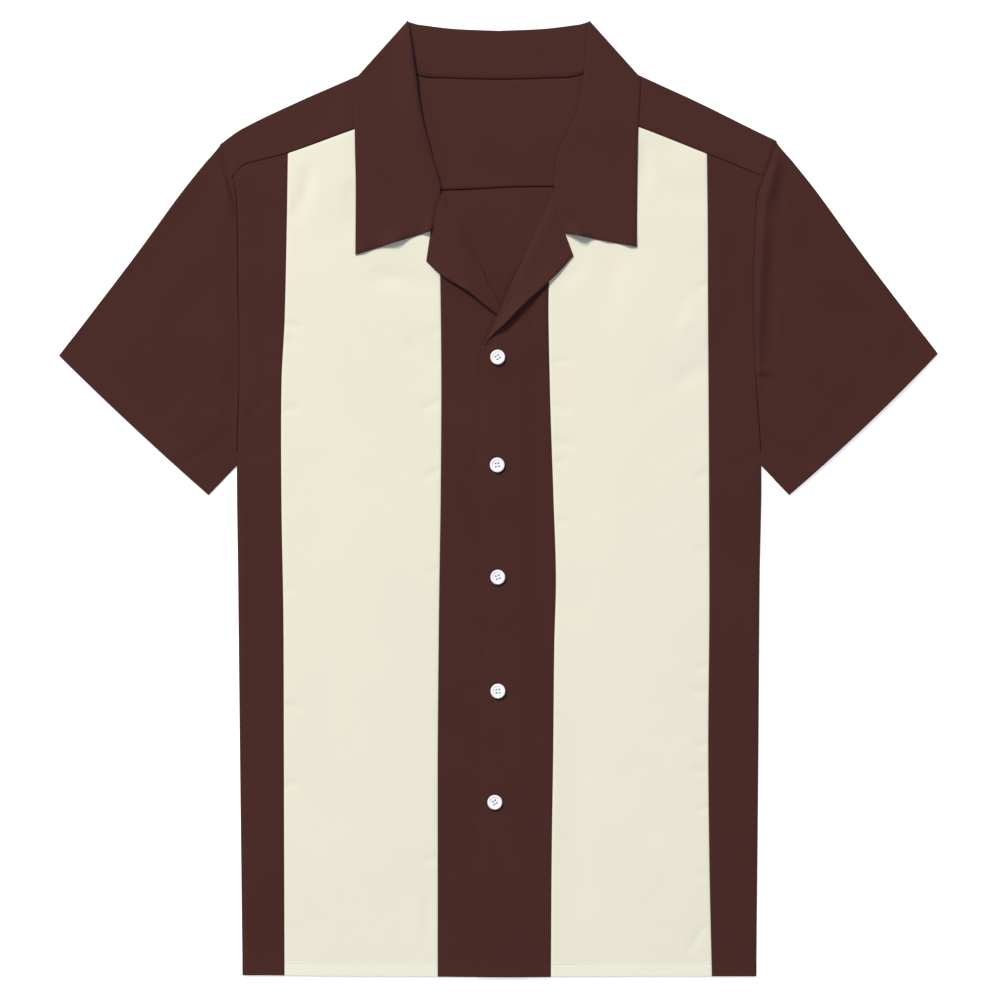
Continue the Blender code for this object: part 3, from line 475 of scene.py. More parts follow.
@dataclass(frozen=True)
class Lay:
    """Heights of the layers over the surface that the shirt lies on."""

    bed_start: float = 680.0
    bed_full: float = 735.0
    bed_reach: float = 127.0
    bed_slope: float = 24.0
    placket_slope: float = 14.0
    placket_clear: float = 2.0
    crossing: tuple[float, float] = (6.0, 560.0)
    crossing_reach: float = 26.0
    crossing_rise: float = 1.3
    crease_start: tuple[float, float] = (-0.12, 0.40)  # where a crease starts, and its run to full depth
    crease_end: tuple[float, float] = (1.25, 0.65)

    def bed(self, x: Array, y: Array) -> Array:
        """Underside of the back: flat, and one layer up over the collar's back fall."""
        up = smooth((y - self.bed_start) / (self.bed_full - self.bed_start))
        across = smooth((self.bed_reach + self.bed_slope - np.abs(x)) / self.bed_slope)
        return LAYER * up * across

    def loft(self, x: Array, y: Array) -> Array:
        """How far the front stands off the back."""
        total = np.zeros(np.broadcast(x, y).shape)
        for swell in SWELLS:
            u = (x - swell.across) / swell.half_across
            v = (y - swell.up) / swell.half_up
            total = total + swell.rise * np.exp(-u * u - v * v)
        return total

    def front_bed(self, x: Array, y: Array) -> Array:
        """Underside of the front layer."""
        return self.bed(x, y) + LAYER + self.loft(x, y)

    def top_front_bed(self, x: Array, y: Array) -> Array:
        """Underside of the left centre panel, over the right one and its lapel."""
        clear = CUT.placket_half + self.placket_clear
        placket = smooth(1.0 - (x - clear) / self.placket_slope)
        away = np.hypot(x - self.crossing[0], y - self.crossing[1])
        crossing = smooth(2.0 - away / self.crossing_reach)
        return self.front_bed(x, y) + LAYER * (placket + self.crossing_rise * crossing)

    def creases(self, layer: Layer, x: Array, y: Array) -> Array:
        """Height that a layer's creases and its slight unevenness add.

        Args:
            layer: whose creases.
            x: places across.
            y: places up the shirt.

        Returns:
            The height at each place.
        """
        total = np.zeros(np.broadcast(x, y).shape)
        (start, start_run), (end, end_run) = self.crease_start, self.crease_end
        for crease in CREASES[layer]:
            run_x, run_y = crease.to_x - crease.x, crease.to_up - crease.up
            run = math.hypot(run_x, run_y)
            along = ((x - crease.x) * run_x + (y - crease.up) * run_y) / run**2
            off = ((y - crease.up) * run_x - (x - crease.x) * run_y) / run
            off = off - crease.bow * 4.0 * along * (1.0 - along)
            ends = smooth((along - start) / start_run) * smooth((end - along) / end_run)
            total = total + crease.rise * hump(off, crease.half_width) * ends
        for ripple in RIPPLES:
            across = x * math.cos(ripple.heading) + y * math.sin(ripple.heading)
            total = total + ripple.rise * np.sin(math.tau * across / ripple.length + ripple.phase)
        return total


LAY = Lay()

# ---- Finishes ----

Colour = tuple[float, float, float]


class NodeBench:
    """Lays out and joins the nodes of one material."""

    def __init__(self, name: str) -> None:
        """Start a material with its shader and output."""
        self.material = bpy.data.materials.new(name)
        self.material.use_nodes = True
        self.tree = self.material.node_tree
        self.shader = self.tree.nodes["Principled BSDF"]

    def add(self, kind: str, **settings: object) -> bpy.types.Node:
        """Add a node.

        Args:
            kind: the node's type.
            settings: its properties, by name.

        Returns:
            The new node.
        """
        node = self.tree.nodes.new(kind)
        for key, value in settings.items():
            setattr(node, key, value)
        return node

    def feed(self, end: Socket, value: object) -> None:
        """Give a socket its value: another socket, a number or a colour."""
        if isinstance(value, Socket):
            self.tree.links.new(value, end)
        else:
            end.default_value = (*value, 1.0) if isinstance(value, tuple) else value

    def dress(self, values: dict[str, object]) -> None:
        """Feed the shader's inputs, by name."""
        for name, value in values.items():
            self.feed(self.shader.inputs[name], value)

    def math(self, operation: str, first: object, second: object = 0.0) -> Socket:
        """Add a sum on one or two values.

        Args:
            operation: the sum's kind.
            first: a socket or a number.
            second: a socket or a number.

        Returns:
            The result's socket.
        """
        node = self.add("ShaderNodeMath", operation=operation)
        for socket, value in zip(node.inputs, (first, second)):
            self.feed(socket, value)
        return node.outputs[0]

    def blend(self, share: object, first: object, second: object) -> Socket:
        """Mix two colours.

        Args:
            share: how much of the second, as a socket or a number.
            first: a socket or a colour.
            second: a socket or a colour.

        Returns:
            The mixed colour's socket.
        """
        node = self.add("ShaderNodeMix", data_type="RGBA")
        for number, value in ((0, share), (6, first), (7, second)):
            self.feed(node.inputs[number], value)
        return node.outputs[2]

    def noise(self, vector: Socket, scale: float, detail: float) -> Socket:
        """Add a noise over a vector and return its value's socket."""
        node = self.add("ShaderNodeTexNoise")
        for name, value in (("Scale", scale), ("Detail", detail), ("Vector", vector)):
            self.feed(node.inputs[name], value)
        return node.outputs["Fac"]

    def range(self, value: Socket, spans: tuple[float, float, float, float]) -> Socket:
        """Map a value from one range (first two) to another (last two).

        Args:
            value: what is mapped.
            spans: ends of its own range, then of the new one.

        Returns:
            The mapped value's socket.
        """
        node = self.add("ShaderNodeMapRange")
        self.feed(node.inputs["Value"], value)
        for name, number in zip(("From Min", "From Max", "To Min", "To Max"), spans):
            node.inputs[name].default_value = number
        return node.outputs["Result"]

    def bump(self, height: Socket, strength: float, distance: float) -> None:
        """Drive the shader's normal from a height."""
        node = self.add("ShaderNodeBump")
        for name, value in (("Strength", strength), ("Distance", distance), ("Height", height)):
            self.feed(node.inputs[name], value)
        self.dress({"Normal": node.outputs["Normal"]})


@dataclass(frozen=True)
class Poplin:
    """Plain-weave cotton: fine warp, slightly thicker weft, matt, with a faint bloom."""

    name: str
    colour: Colour
    doubled: Colour  # where a second layer backs it, as in a hem
    fleck: float  # how much single yarns differ
    mottle: float  # how much broad patches differ
    roughness: float = 0.88
    sheen: float = 0.06
    warp: float = 0.00042  # metres from yarn to yarn
    weft: float = 0.00056
    warp_slubs: Colour = (2400.0, 90.0, 1.0)  # how fine the yarns' thick and thin places are, each way
    weft_slubs: Colour = (80.0, 1800.0, 1.0)
    patches: float = 14.0
    relief: float = 0.00006
    shine: float = 0.18

    def build(self) -> Material:
        """Make the material."""
        bench = NodeBench(self.name)
        grain = bench.add("ShaderNodeUVMap", uv_map=GRAIN_MAP).outputs["UV"]
        split = bench.add("ShaderNodeSeparateXYZ")
        bench.feed(split.inputs[0], grain)
        ends = bench.math("SINE", bench.math("MULTIPLY", split.outputs["X"], math.pi / self.warp))
        picks = bench.math("SINE", bench.math("MULTIPLY", split.outputs["Y"], math.pi / self.weft))
        weave = bench.math("MULTIPLY", ends, picks)
        ways = (self.warp_slubs, self.weft_slubs)
        slubs = bench.math("ADD", *(self.slub(bench, grain, way) for way in ways))
        broad = bench.noise(grain, self.patches, 3.0)
        doubled = bench.add("ShaderNodeAttribute", attribute_name=DOUBLED).outputs["Fac"]
        spread = self.fleck
        fleck = bench.range(slubs, (0.6, 1.4, 1.0 - spread, 1.0 + spread))
        mottle = bench.range(broad, (0.3, 0.7, 1.0 - self.mottle, 1.0 + self.mottle))
        woven = bench.range(weave, (-1.0, 1.0, 1.0 - spread / 2, 1.0 + spread / 2))
        tint = bench.add("ShaderNodeVectorMath", operation="SCALE")
        bench.feed(tint.inputs[0], bench.blend(doubled, self.colour, self.doubled))
        bench.feed(tint.inputs["Scale"], bench.math("MULTIPLY", bench.math("MULTIPLY", fleck, mottle), woven))
        bench.bump(bench.math("ADD", weave, bench.math("MULTIPLY", slubs, 0.8)), 0.35, self.relief)
        bench.dress(
            {
                "Base Color": tint.outputs["Vector"],
                "Roughness": bench.range(slubs, (0.5, 1.5, self.roughness - 0.05, self.roughness + 0.05)),
                "Specular IOR Level": self.shine,
                "Sheen Weight": self.sheen,
                "Sheen Roughness": 0.5,
            }
        )
        return bench.material

    @staticmethod
    def slub(bench: NodeBench, grain: Socket, scale: Colour) -> Socket:
        """Noise stretched along the yarns that run one way."""
        mapping = bench.add("ShaderNodeMapping")
        mapping.inputs["Scale"].default_value = scale
        bench.feed(mapping.inputs["Vector"], grain)
        return bench.noise(mapping.outputs["Vector"], 1.0, 2.0)


@dataclass(frozen=True)
class Resin:
    """Cast button resin: near white, faintly clouded, softly polished."""

    name: str = "white_button_resin"
    colour: Colour = (0.86, 0.87, 0.88)
    cloud: Colour = (0.76, 0.78, 0.80)

    def build(self) -> Material:
        """Make the material."""
        bench = NodeBench(self.name)
        place = bench.add("ShaderNodeTexCoord").outputs["Object"]
        swirl = bench.noise(place, 260.0, 4.0)
        share = bench.range(swirl, (0.45, 0.8, 0.0, 1.0))
        rough = bench.range(bench.noise(place, 1500.0, 2.0), (0.3, 0.7, 0.24, 0.36))
        bench.dress({"Base Color": bench.blend(share, self.colour, self.cloud), "Roughness": rough})
        bench.bump(bench.noise(place, 900.0, 2.0), 0.1, 0.00004)
        return bench.material


@dataclass(frozen=True)
class Thread:
    """Spun sewing thread, with its twist as fine bands."""

    name: str
    colour: Colour
    shine: float = 0.3

    def build(self) -> Material:
        """Make the material."""
        bench = NodeBench(self.name)
        place = bench.add("ShaderNodeTexCoord").outputs["Object"]
        twist = bench.noise(place, 3200.0, 1.0)
        dark = tuple(0.72 * part for part in self.colour)
        share = bench.range(twist, (0.35, 0.65, 0.0, 1.0))
        bench.bump(twist, 0.3, 0.00005)
        colour = bench.blend(share, dark, self.colour)
        bench.dress({"Base Color": colour, "Roughness": 0.7, "Specular IOR Level": self.shine})
        return bench.material


class Finishes:
    """The shirt's finishes, each made once."""

    def __init__(self) -> None:
        """Build every finish."""
        brown = (0.0512, 0.0146, 0.0110)
        cream = (0.715, 0.695, 0.560)
        self.brown = Poplin("brown_poplin_weave", brown, (0.0530, 0.0152, 0.0115), 0.05, 0.035).build()
        self.cream = Poplin("cream_poplin_weave", cream, (0.745, 0.732, 0.610), 0.018, 0.008).build()
        self.resin = Resin().build()
        self.brown_thread = Thread("brown_sewing_thread", (0.050, 0.020, 0.017)).build()
        # Near-black seam thread: its colour is painted shade, standing in for the dark crevice of the neck,
        # yoke and armhole seams.
        self.dark_thread = Thread("seam_thread_painted_shade", (0.014, 0.0022, 0.0014), shine=0.04).build()
        self.cream_thread = Thread("cream_sewing_thread", (0.66, 0.64, 0.53)).build()
        self.button_thread = Thread("white_button_thread", (0.62, 0.63, 0.64)).build()


# ---- Cloth ----


@dataclass
class ClothSurface:
    """Middle surface of one piece of cloth.

    points holds columns by rows of places, with gaps as NaN; as seen from the cloth's outer face, a column's
    right-hand neighbour is the next one and its rows run upwards. grain holds each point's place on the flat
    cut, thick its wall, and doubled how far a second layer backs it. A ring's last column meets its first.
    """

    points: Array
    grain: Array
    thick: Array
    doubled: Array
    ring: bool = False

    def corners(self) -> tuple[Array, Array, Array, Array]:
        """Grid numbers of each cell's corners, anticlockwise from the outer face."""
        columns, rows = self.points.shape[:2]
        number = np.arange(columns * rows).reshape(columns, rows)
        if self.ring:
            number = np.vstack([number, number[:1]])
        cells = (number[:-1, :-1], number[1:, :-1], number[1:, 1:], number[:-1, 1:])
        return tuple(corner.ravel() for corner in cells)

    def mesh(self, name: str) -> bpy.types.Mesh:
        """Give the surface its wall and a rounded rim.

        Args:
            name: the mesh's name.

        Returns:
            A closed mesh, in metres, with its grain map and doubled attribute.
        """
        flat = self.points.reshape(-1, 3)
        a, b, c, d = self.corners()
        across = np.cross(flat[c] - flat[a], flat[d] - flat[b])
        whole = ~np.isnan(across).any(axis=1)
        a, b, c, d = (corner[whole] for corner in (a, b, c, d))
        across = across[whole] / np.linalg.norm(across[whole], axis=1, keepdims=True)
        sums = np.zeros_like(flat)
        for corner in (a, b, c, d):
            np.add.at(sums, corner, across)
        used = np.unique(np.concatenate([a, b, c, d]))
        renumber = np.full(len(flat), -1)
        renumber[used] = np.arange(len(used))
        a, b, c, d = (renumber[corner] for corner in (a, b, c, d))
        middle = flat[used]
        normal = sums[used] / np.linalg.norm(sums[used], axis=1, keepdims=True)
        half = self.thick.reshape(-1)[used, None] / 2
        count = len(used)
        starts = np.concatenate([a, b, c, d])
        ends = np.concatenate([b, c, d, a])
        lone = ~np.isin(ends * count + starts, starts * count + ends)
        starts, ends = starts[lone], ends[lone]
        out = np.zeros_like(middle)
        step = middle[ends] - middle[starts]
        step /= np.linalg.norm(step, axis=1, keepdims=True)
        for end in (starts, ends):
            np.add.at(out, end, np.cross(step, normal[end]))
        rim = np.unique(starts)
        bulge = out[rim] / np.maximum(np.linalg.norm(out[rim], axis=1, keepdims=True), 1e-9)
        rounded = middle[rim] + bulge * half[rim] * RIM_BULGE
        points = [middle + normal * half, middle - normal * half, rounded]
        rim_number = np.full(count, -1)
        rim_number[rim] = 2 * count + np.arange(len(rim))
        faces = [
            np.stack([a, b, c, d], axis=1),
            np.stack([d, c, b, a], axis=1) + count,
            np.stack([ends, starts, rim_number[starts], rim_number[ends]], axis=1),
            np.stack([rim_number[ends], rim_number[starts], starts + count, ends + count], axis=1),
        ]
        faces = np.concatenate(faces)
        source = np.concatenate([used, used, used[rim]])
        made = bpy.data.meshes.new(name)
        placed = np.concatenate(points) * MM + np.array([0.0, HEM_PLACE, 0.0])
        made.from_pydata(placed.tolist(), [], faces.tolist())
        grain = self.grain.reshape(-1, 2)[source] * MM
        layer = made.uv_layers.new(name=GRAIN_MAP)
        layer.uv.foreach_set("vector", grain[faces.ravel()].astype(np.float32).ravel())
        doubled = made.attributes.new(DOUBLED, "FLOAT", "POINT")
        doubled.data.foreach_set("value", self.doubled.reshape(-1)[source].astype(np.float32))
        made.shade_smooth()
        return made


def new_object(name: str, data: bpy.types.ID) -> Piece:
    """Put a new object into the scene."""
    made = bpy.data.objects.new(name, data)
    bpy.context.scene.collection.objects.link(made)
    return made


def add_piece(mesh: bpy.types.Mesh, material: Material, node: str = "") -> Piece:
    """Put a finished mesh into the scene, riding on the shirt.

    Args:
        mesh: the piece's mesh, placed in the frame.
        material: its finish.
        node: the plain solid that it stands for, if there is one.

    Returns:
        The new object.
    """
    mesh.materials.clear()
    mesh.materials.append(material)
    piece = new_object(mesh.name, mesh)
    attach(piece, BODY)
    if node:
        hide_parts(node)
    mesh.calc_loop_triangles()
    log.info("%s: %d triangles", piece.name, len(mesh.loop_triangles))
    return piece


class FlatCut(NamedTuple):
    """A cloth piece before it is laid: its area, and its size across and along, metres."""

    area: float
    size: tuple[float, float]


@dataclass
class Sewn:
    """Where and how a piece of cloth goes into the shirt."""

    node: str  # the plain solid that it stands for
    material: Material
    cut: FlatCut
    rests_on: list[str] = field(default_factory=list)
    held: str = "laid"
    slot: str = "brown_cloth"

    def add(self, surface: ClothSurface) -> Piece:
        """Add the piece."""
        piece = add_piece(surface.mesh(f"{self.node}_cloth"), self.material, self.node)
        return piece


def lengths(points: Array) -> Array:
    """Length along each column of points from its first one, with gaps counted as nothing."""
    steps = np.linalg.norm(np.diff(points, axis=1), axis=2)
    steps = np.where(np.isnan(steps), 0.0, steps)
    return np.concatenate([np.zeros((len(points), 1)), np.cumsum(steps, axis=1)], axis=1)


class EdgeFinish(Enum):
    """How an edge of a panel is finished."""

    SEAM = "dips to meet its neighbour"
    CLOSED = "comes down to meet the back"
    PLAIN = "lies as it falls"


EDGE_STOPS = (0.0, 0.45, 0.95, 1.6, 2.6, 4.0)
ARMHOLE_STOPS = (0.0, 0.45, 0.95, 1.6, 2.5, 3.5, 4.6, 5.7, 6.8, 7.9, 9.0, 10.2, 11.5, 13.0, 15.0, 17.6)
HEM_STOPS = (0.0, 0.5, 1.2, 2.4, 4.2, 6.4, 8.4, 9.6, 10.2, 10.6, 11.0, 11.4, 12.0, 13.2, 15.0)


def graded(span: float, step: float, first: Sequence[float], last: Sequence[float]) -> Array:
    """Stops along a span, close by its ends and even between them.

    Args:
        span: the span's length.
        step: the even spacing.
        first: stops measured from the start.
        last: stops measured back from the end.

    Returns:
        Shares of the span, from 0 to 1.
    """
    inner = span - first[-1] - last[-1]
    even = np.linspace(first[-1], span - last[-1], max(2, round(inner / step)) + 1)
    stops = np.concatenate([first[:-1], even, span - np.array(last[:-1])[::-1]])
    return stops / span


@dataclass(frozen=True)
class Hem:
    """A turned hem along a panel's foot or a cuff."""

    depth: float = 10.8
    stitch_up: float = 10.6
    extra: float = 0.34  # added thickness
    pull: float = 0.16  # how far the stitching sinks
    pull_width: float = 0.7
    fade: float = 0.8

    def doubled(self, away: Array) -> Array:
        """1 inside the hem, 0 past it."""
        return 1.0 - smooth((away - self.depth) / self.fade)

    def thick(self, plain: float, away: Array) -> Array:
        """Wall at a distance from the edge."""
        dip = self.pull * hump(away - self.stitch_up, self.pull_width)
        return plain + self.extra * self.doubled(away) - dip


@dataclass
class PanelShape:
    """A laid panel between two edge lines, left one first as seen from above."""

    first: Plan
    last: Plan
    top: Plan | None
    height: float
    span: float
    level: Level
    layer: Layer
    first_finish: EdgeFinish = EdgeFinish.SEAM
    last_finish: EdgeFinish = EdgeFinish.SEAM
    top_finish: EdgeFinish = EdgeFinish.SEAM
    step: float = 3.2
    thick: float = 0.62
    hem: Hem = field(default_factory=Hem)
    top_pull: int = 7
    stops: tuple[float, ...] = ()
    closed_at: float = 1.16  # height of a closed edge's middle
    seam_dip: float = 0.34
    seam_width: float = 1.0
    closing: float = 2.4
    on_back: float = 1.24  # least height of a front's middle over the back's bed

    def surface(self) -> ClothSurface:
        """Lay the panel out as a grid."""
        columns = graded(self.span, self.step, EDGE_STOPS, EDGE_STOPS)
        rows = graded(self.height, self.step, HEM_STOPS, EDGE_STOPS)
        rows = np.unique(np.concatenate([rows, np.array(self.stops) / self.height]))
        left, right = self.first(rows), self.last(rows)
        share = columns[:, None, None]
        plan = left[None] * (1.0 - share) + right[None] * share
        if self.top is not None:
            straight = left[-1] * (1.0 - columns[:, None]) + right[-1] * columns[:, None]
            plan = plan + (self.top(columns) - straight)[:, None] * rows[None, :, None] ** self.top_pull
        plan[..., 1] += CUT.hem(plan[..., 0], plan[..., 1])
        x, y = plan[..., 0], plan[..., 1]
        z = self.level(x, y) + WALL / 2 + LAY.creases(self.layer, x, y)
        if self.layer is Layer.FRONT:
            z = np.maximum(z, LAY.bed(x, y) + LAY.creases(Layer.BACK, x, y) + self.on_back)
        gaps = (
            (self.first_finish, np.linalg.norm(plan - plan[:1], axis=2)),
            (self.last_finish, np.linalg.norm(plan - plan[-1:], axis=2)),
            (self.top_finish, np.linalg.norm(plan - plan[:, -1:], axis=2)),
        )
        for finish, away in gaps:
            if finish is EdgeFinish.SEAM:
                z = z - self.seam_dip * hump(away, self.seam_width)
            if finish is EdgeFinish.CLOSED:
                z = z + (self.closed_at - z) * hump(away, self.closing)
        from_hem = np.linalg.norm(plan - plan[:, :1], axis=2)
        thick = self.hem.thick(self.thick, from_hem)
        points = np.stack([x, y, np.maximum(z, thick / 2 + CLEAR)], axis=2)
        return ClothSurface(points, plan.copy(), thick, self.hem.doubled(from_hem))


def seam_line(rows: Sequence[EdgeRow], side: Side, top: float, inset: float) -> Plan:
    """Edge along a seam, from the hem to a height.

    Args:
        rows: the seam's table.
        side: which side it is on.
        top: height of its upper end.
        inset: how far it is moved in, towards the middle.

    Returns:
        A function from shares of the way up to plan points.
    """

    def line(shares: Array) -> Array:
        """Plan points at shares of the way up."""
        height = shares * top
        reach = follow(rows, height, side.label) - inset
        return np.stack([side.value * reach, height], axis=-1)

    return line


@dataclass
class BackPanel:
    """Back below the yoke, flat on the surface."""

    finishes: Finishes
    cut: FlatCut = FlatCut(0.301, (0.452, 0.677))

    def build(self) -> Piece:
        """Make the back."""
        top = CUT.back_yoke_seam - SEAM
        ends = [side.value * (float(CUT.body(side, top)) - SEAM) for side in Side]

        def seam(columns: Array) -> Array:
            """Plan points along the yoke seam."""
            x = ends[0] * (1 - columns) + ends[1] * columns
            return np.stack([x, CUT.inner_seam(x) - SEAM], axis=-1)

        shape = PanelShape(
            first=seam_line(CUT.body_edge, Side.RIGHT, top, SEAM),
            last=seam_line(CUT.body_edge, Side.LEFT, top, SEAM),
            top=seam,
            height=top,
            span=447.0,
            level=LAY.bed,
            layer=Layer.BACK,
            first_finish=EdgeFinish.PLAIN,
            last_finish=EdgeFinish.PLAIN,
            step=4.4,
            seam_dip=0.1,
        )
        return Sewn("back", self.finishes.brown, self.cut).add(shape.surface())


@dataclass
class FrontSide:
    """Front panel between the side seam and the stripe."""

    side: Side
    finishes: Finishes
    cut: FlatCut

    def build(self) -> Piece:
        """Make the side panel."""
        sign, label = self.side.value, self.side.label
        right = self.side is Side.RIGHT
        outer_top = float(follow(CUT.yoke_seam, CUT.yoke_end, label)) - 2 * SEAM
        inner_top = float(follow(CUT.yoke_seam, CUT.stripe_top, label)) - SEAM
        outer = seam_line(CUT.body_edge, self.side, outer_top, SEAM)
        inner = seam_line(CUT.stripe_outer, self.side, inner_top, -SEAM)
        first, last = (outer, inner) if right else (inner, outer)
        ends = np.array([1.0])

        def top(columns: Array) -> Array:
            """Plan points along the yoke seam."""
            x = first(ends)[0, 0] * (1 - columns) + last(ends)[0, 0] * columns
            return np.stack([x, follow(CUT.yoke_seam, sign * x, label) - SEAM], axis=-1)

        shape = SidePanelShape(
            first=first,
            last=last,
            top=top,
            height=outer_top,
            span=41.0,
            level=LAY.front_bed,
            layer=Layer.FRONT,
            first_finish=EdgeFinish.CLOSED if right else EdgeFinish.SEAM,
            last_finish=EdgeFinish.SEAM if right else EdgeFinish.CLOSED,
            step=2.8,
        )
        sewn = Sewn(f"{label}_front_side", self.finishes.brown, self.cut, ["back_cloth"])
        return sewn.add(shape.surface())


@dataclass
class SidePanelShape(PanelShape):
    """A side panel, whose outer edge closes on the back below the underarm and dips at the armhole."""

    underarm: float = 440.0
    sewn_under: float = 4.0  # how far under the underarm the change starts
    sewn_run: float = 16.0

    def surface(self) -> ClothSurface:
        """Lay the panel out, with its outer edge's finish changing at the underarm."""
        closed = super().surface()
        sewn = PanelShape.surface(replace(self, first_finish=EdgeFinish.SEAM, last_finish=EdgeFinish.SEAM))
        share = smooth((closed.points[..., 1] - self.underarm + self.sewn_under) / self.sewn_run)
        closed.points[..., 2] += share * (sewn.points[..., 2] - closed.points[..., 2])
        return closed


@dataclass
class FrontStripe:
    """Contrast stripe from the yoke and neck seams down to the hem."""

    side: Side
    finishes: Finishes
    cut: FlatCut = FlatCut(0.0955, (0.137, 0.738))
    neck_turn: float = 741.0  # where the neck seam meets the yoke seam
    neck_top: float = 738.0
    seam_end: float = 4.0  # from the neck seam's foot down to where the inner seam stops bending
    clear: float = 1.0  # how far the inner edge stands clear of the collar
    clear_from: float = 600.0
    clear_run: float = 40.0

    def build(self) -> Piece:
        """Make the stripe."""
        sign, label = self.side.value, self.side.label
        outer_top = float(follow(CUT.yoke_seam, CUT.stripe_top, label)) - SEAM
        foot = CUT.front_neck[0].height - GAP
        outer = seam_line(CUT.stripe_outer, self.side, outer_top, SEAM)
        inner = seam_line(CUT.stripe_inner, self.side, foot - self.seam_end, -self.clear)
        inner_seam = seam_line(CUT.stripe_inner, self.side, foot - self.seam_end, -SEAM)

        def stitched(shares: Array) -> Array:
            """Inner edge: on the seam up to the neck, where it clears the collar."""
            share = smooth((shares * foot - self.clear_from) / self.clear_run)[:, None]
            return inner_seam(shares) * (1 - share) + inner(shares) * share

        first, last = (outer, stitched) if self.side is Side.RIGHT else (stitched, outer)
        ends = np.array([1.0])
        neck_corner = float(CUT.neck_reach(self.neck_turn))
        inner_reach, inner_up = sign * inner(ends)[0, 0], inner(ends)[0, 1]

        def top(columns: Array) -> Array:
            """Plan points along the yoke seam, then down the neck seam."""
            x = first(ends)[0, 0] * (1 - columns) + last(ends)[0, 0] * columns
            reach = sign * x
            share = (reach - inner_reach) / (neck_corner - inner_reach)
            neck_up = inner_up + share * (self.neck_top - inner_up)
            neck = np.maximum(reach, CUT.neck_reach(np.maximum(neck_up, CUT.front_neck[0].height)) + GAP)
            on_yoke = reach > neck_corner
            up = np.where(on_yoke, follow(CUT.yoke_seam, reach, label) - SEAM, neck_up)
            return np.stack([sign * np.where(on_yoke, reach, neck), up], axis=-1)

        shape = PanelShape(
            first=first,
            last=last,
            top=top,
            height=outer_top,
            span=132.0,
            level=LAY.front_bed,
            layer=Layer.FRONT,
            step=2.8,
        )
        node = f"{label}_front_stripe"
        sewn = Sewn(node, self.finishes.cream, self.cut, ["back_cloth"], slot="cream_cloth")
        return sewn.add(shape.surface())


def lapel_roll(side: Side, height: Array) -> Array:
    """Reach of a lapel's roll line at a height."""
    rows = [NeckRow(row.roll_up, row.roll_reach) for row in reversed(LAPELS[side])]
    return follow(rows, height, "reach")


@dataclass
class FrontCentre:
    """Centre panel from the stripe to the front edge; the left one laps over the right one."""

    side: Side
    finishes: Finishes
    cut: FlatCut
    top: float = 661.0

    def edge(self, height: Array) -> Array:
        """Reach of the front edge: free below the break, along the lapel's roll above it."""
        free = follow(CUT.front_edge, height, self.side.label)
        rolled = lapel_roll(self.side, height) + CUT.lapel_turn + GAP
        return np.where(height < BREAK[self.side], free, rolled)

    def build(self) -> Piece:
        """Make the centre panel."""
        sign, label = self.side.value, self.side.label
        right = self.side is Side.RIGHT
        seam = seam_line(CUT.stripe_inner, self.side, self.top, SEAM)

        def front(shares: Array) -> Array:
            """Plan points along the front edge."""
            height = shares * self.top
            return np.stack([sign * self.edge(height), height], axis=-1)

        shape = CentrePanelShape(
            first=seam if right else front,
            last=front if right else seam,
            top=None,
            height=self.top,
            span=66.0,
            level=LAY.front_bed if right else LAY.top_front_bed,
            layer=Layer.FRONT,
            first_finish=EdgeFinish.SEAM if right else EdgeFinish.PLAIN,
            last_finish=EdgeFinish.PLAIN if right else EdgeFinish.SEAM,
            top_finish=EdgeFinish.PLAIN,
            step=2.6,
            stops=(BREAK[self.side] - 0.4, BREAK[self.side] + 0.3),
            on_top=not right,
        )
        under = ["back_cloth"] if right else ["back_cloth", "right_front_centre_cloth"]
        return Sewn(f"{label}_front_centre", self.finishes.brown, self.cut, under).add(shape.surface())


@dataclass
class CentrePanelShape(PanelShape):
    """A centre panel; the top one presses down on the under one along its free edge."""

    on_top: bool = False
    press: float = 0.42
    press_width: float = 7.0
    press_to: float = 500.0  # height up to which it is pressed
    press_fade: float = 30.0

    def surface(self) -> ClothSurface:
        """Lay the panel out, pressed down along its front edge."""
        whole = super().surface()
        if self.on_top:
            plan = whole.points[..., :2]
            away = np.linalg.norm(plan - plan[:1], axis=2)
            below = 1.0 - smooth((plan[..., 1] - self.press_to) / self.press_fade)
            whole.points[..., 2] -= self.press * hump(away, self.press_width) * below
        return whole


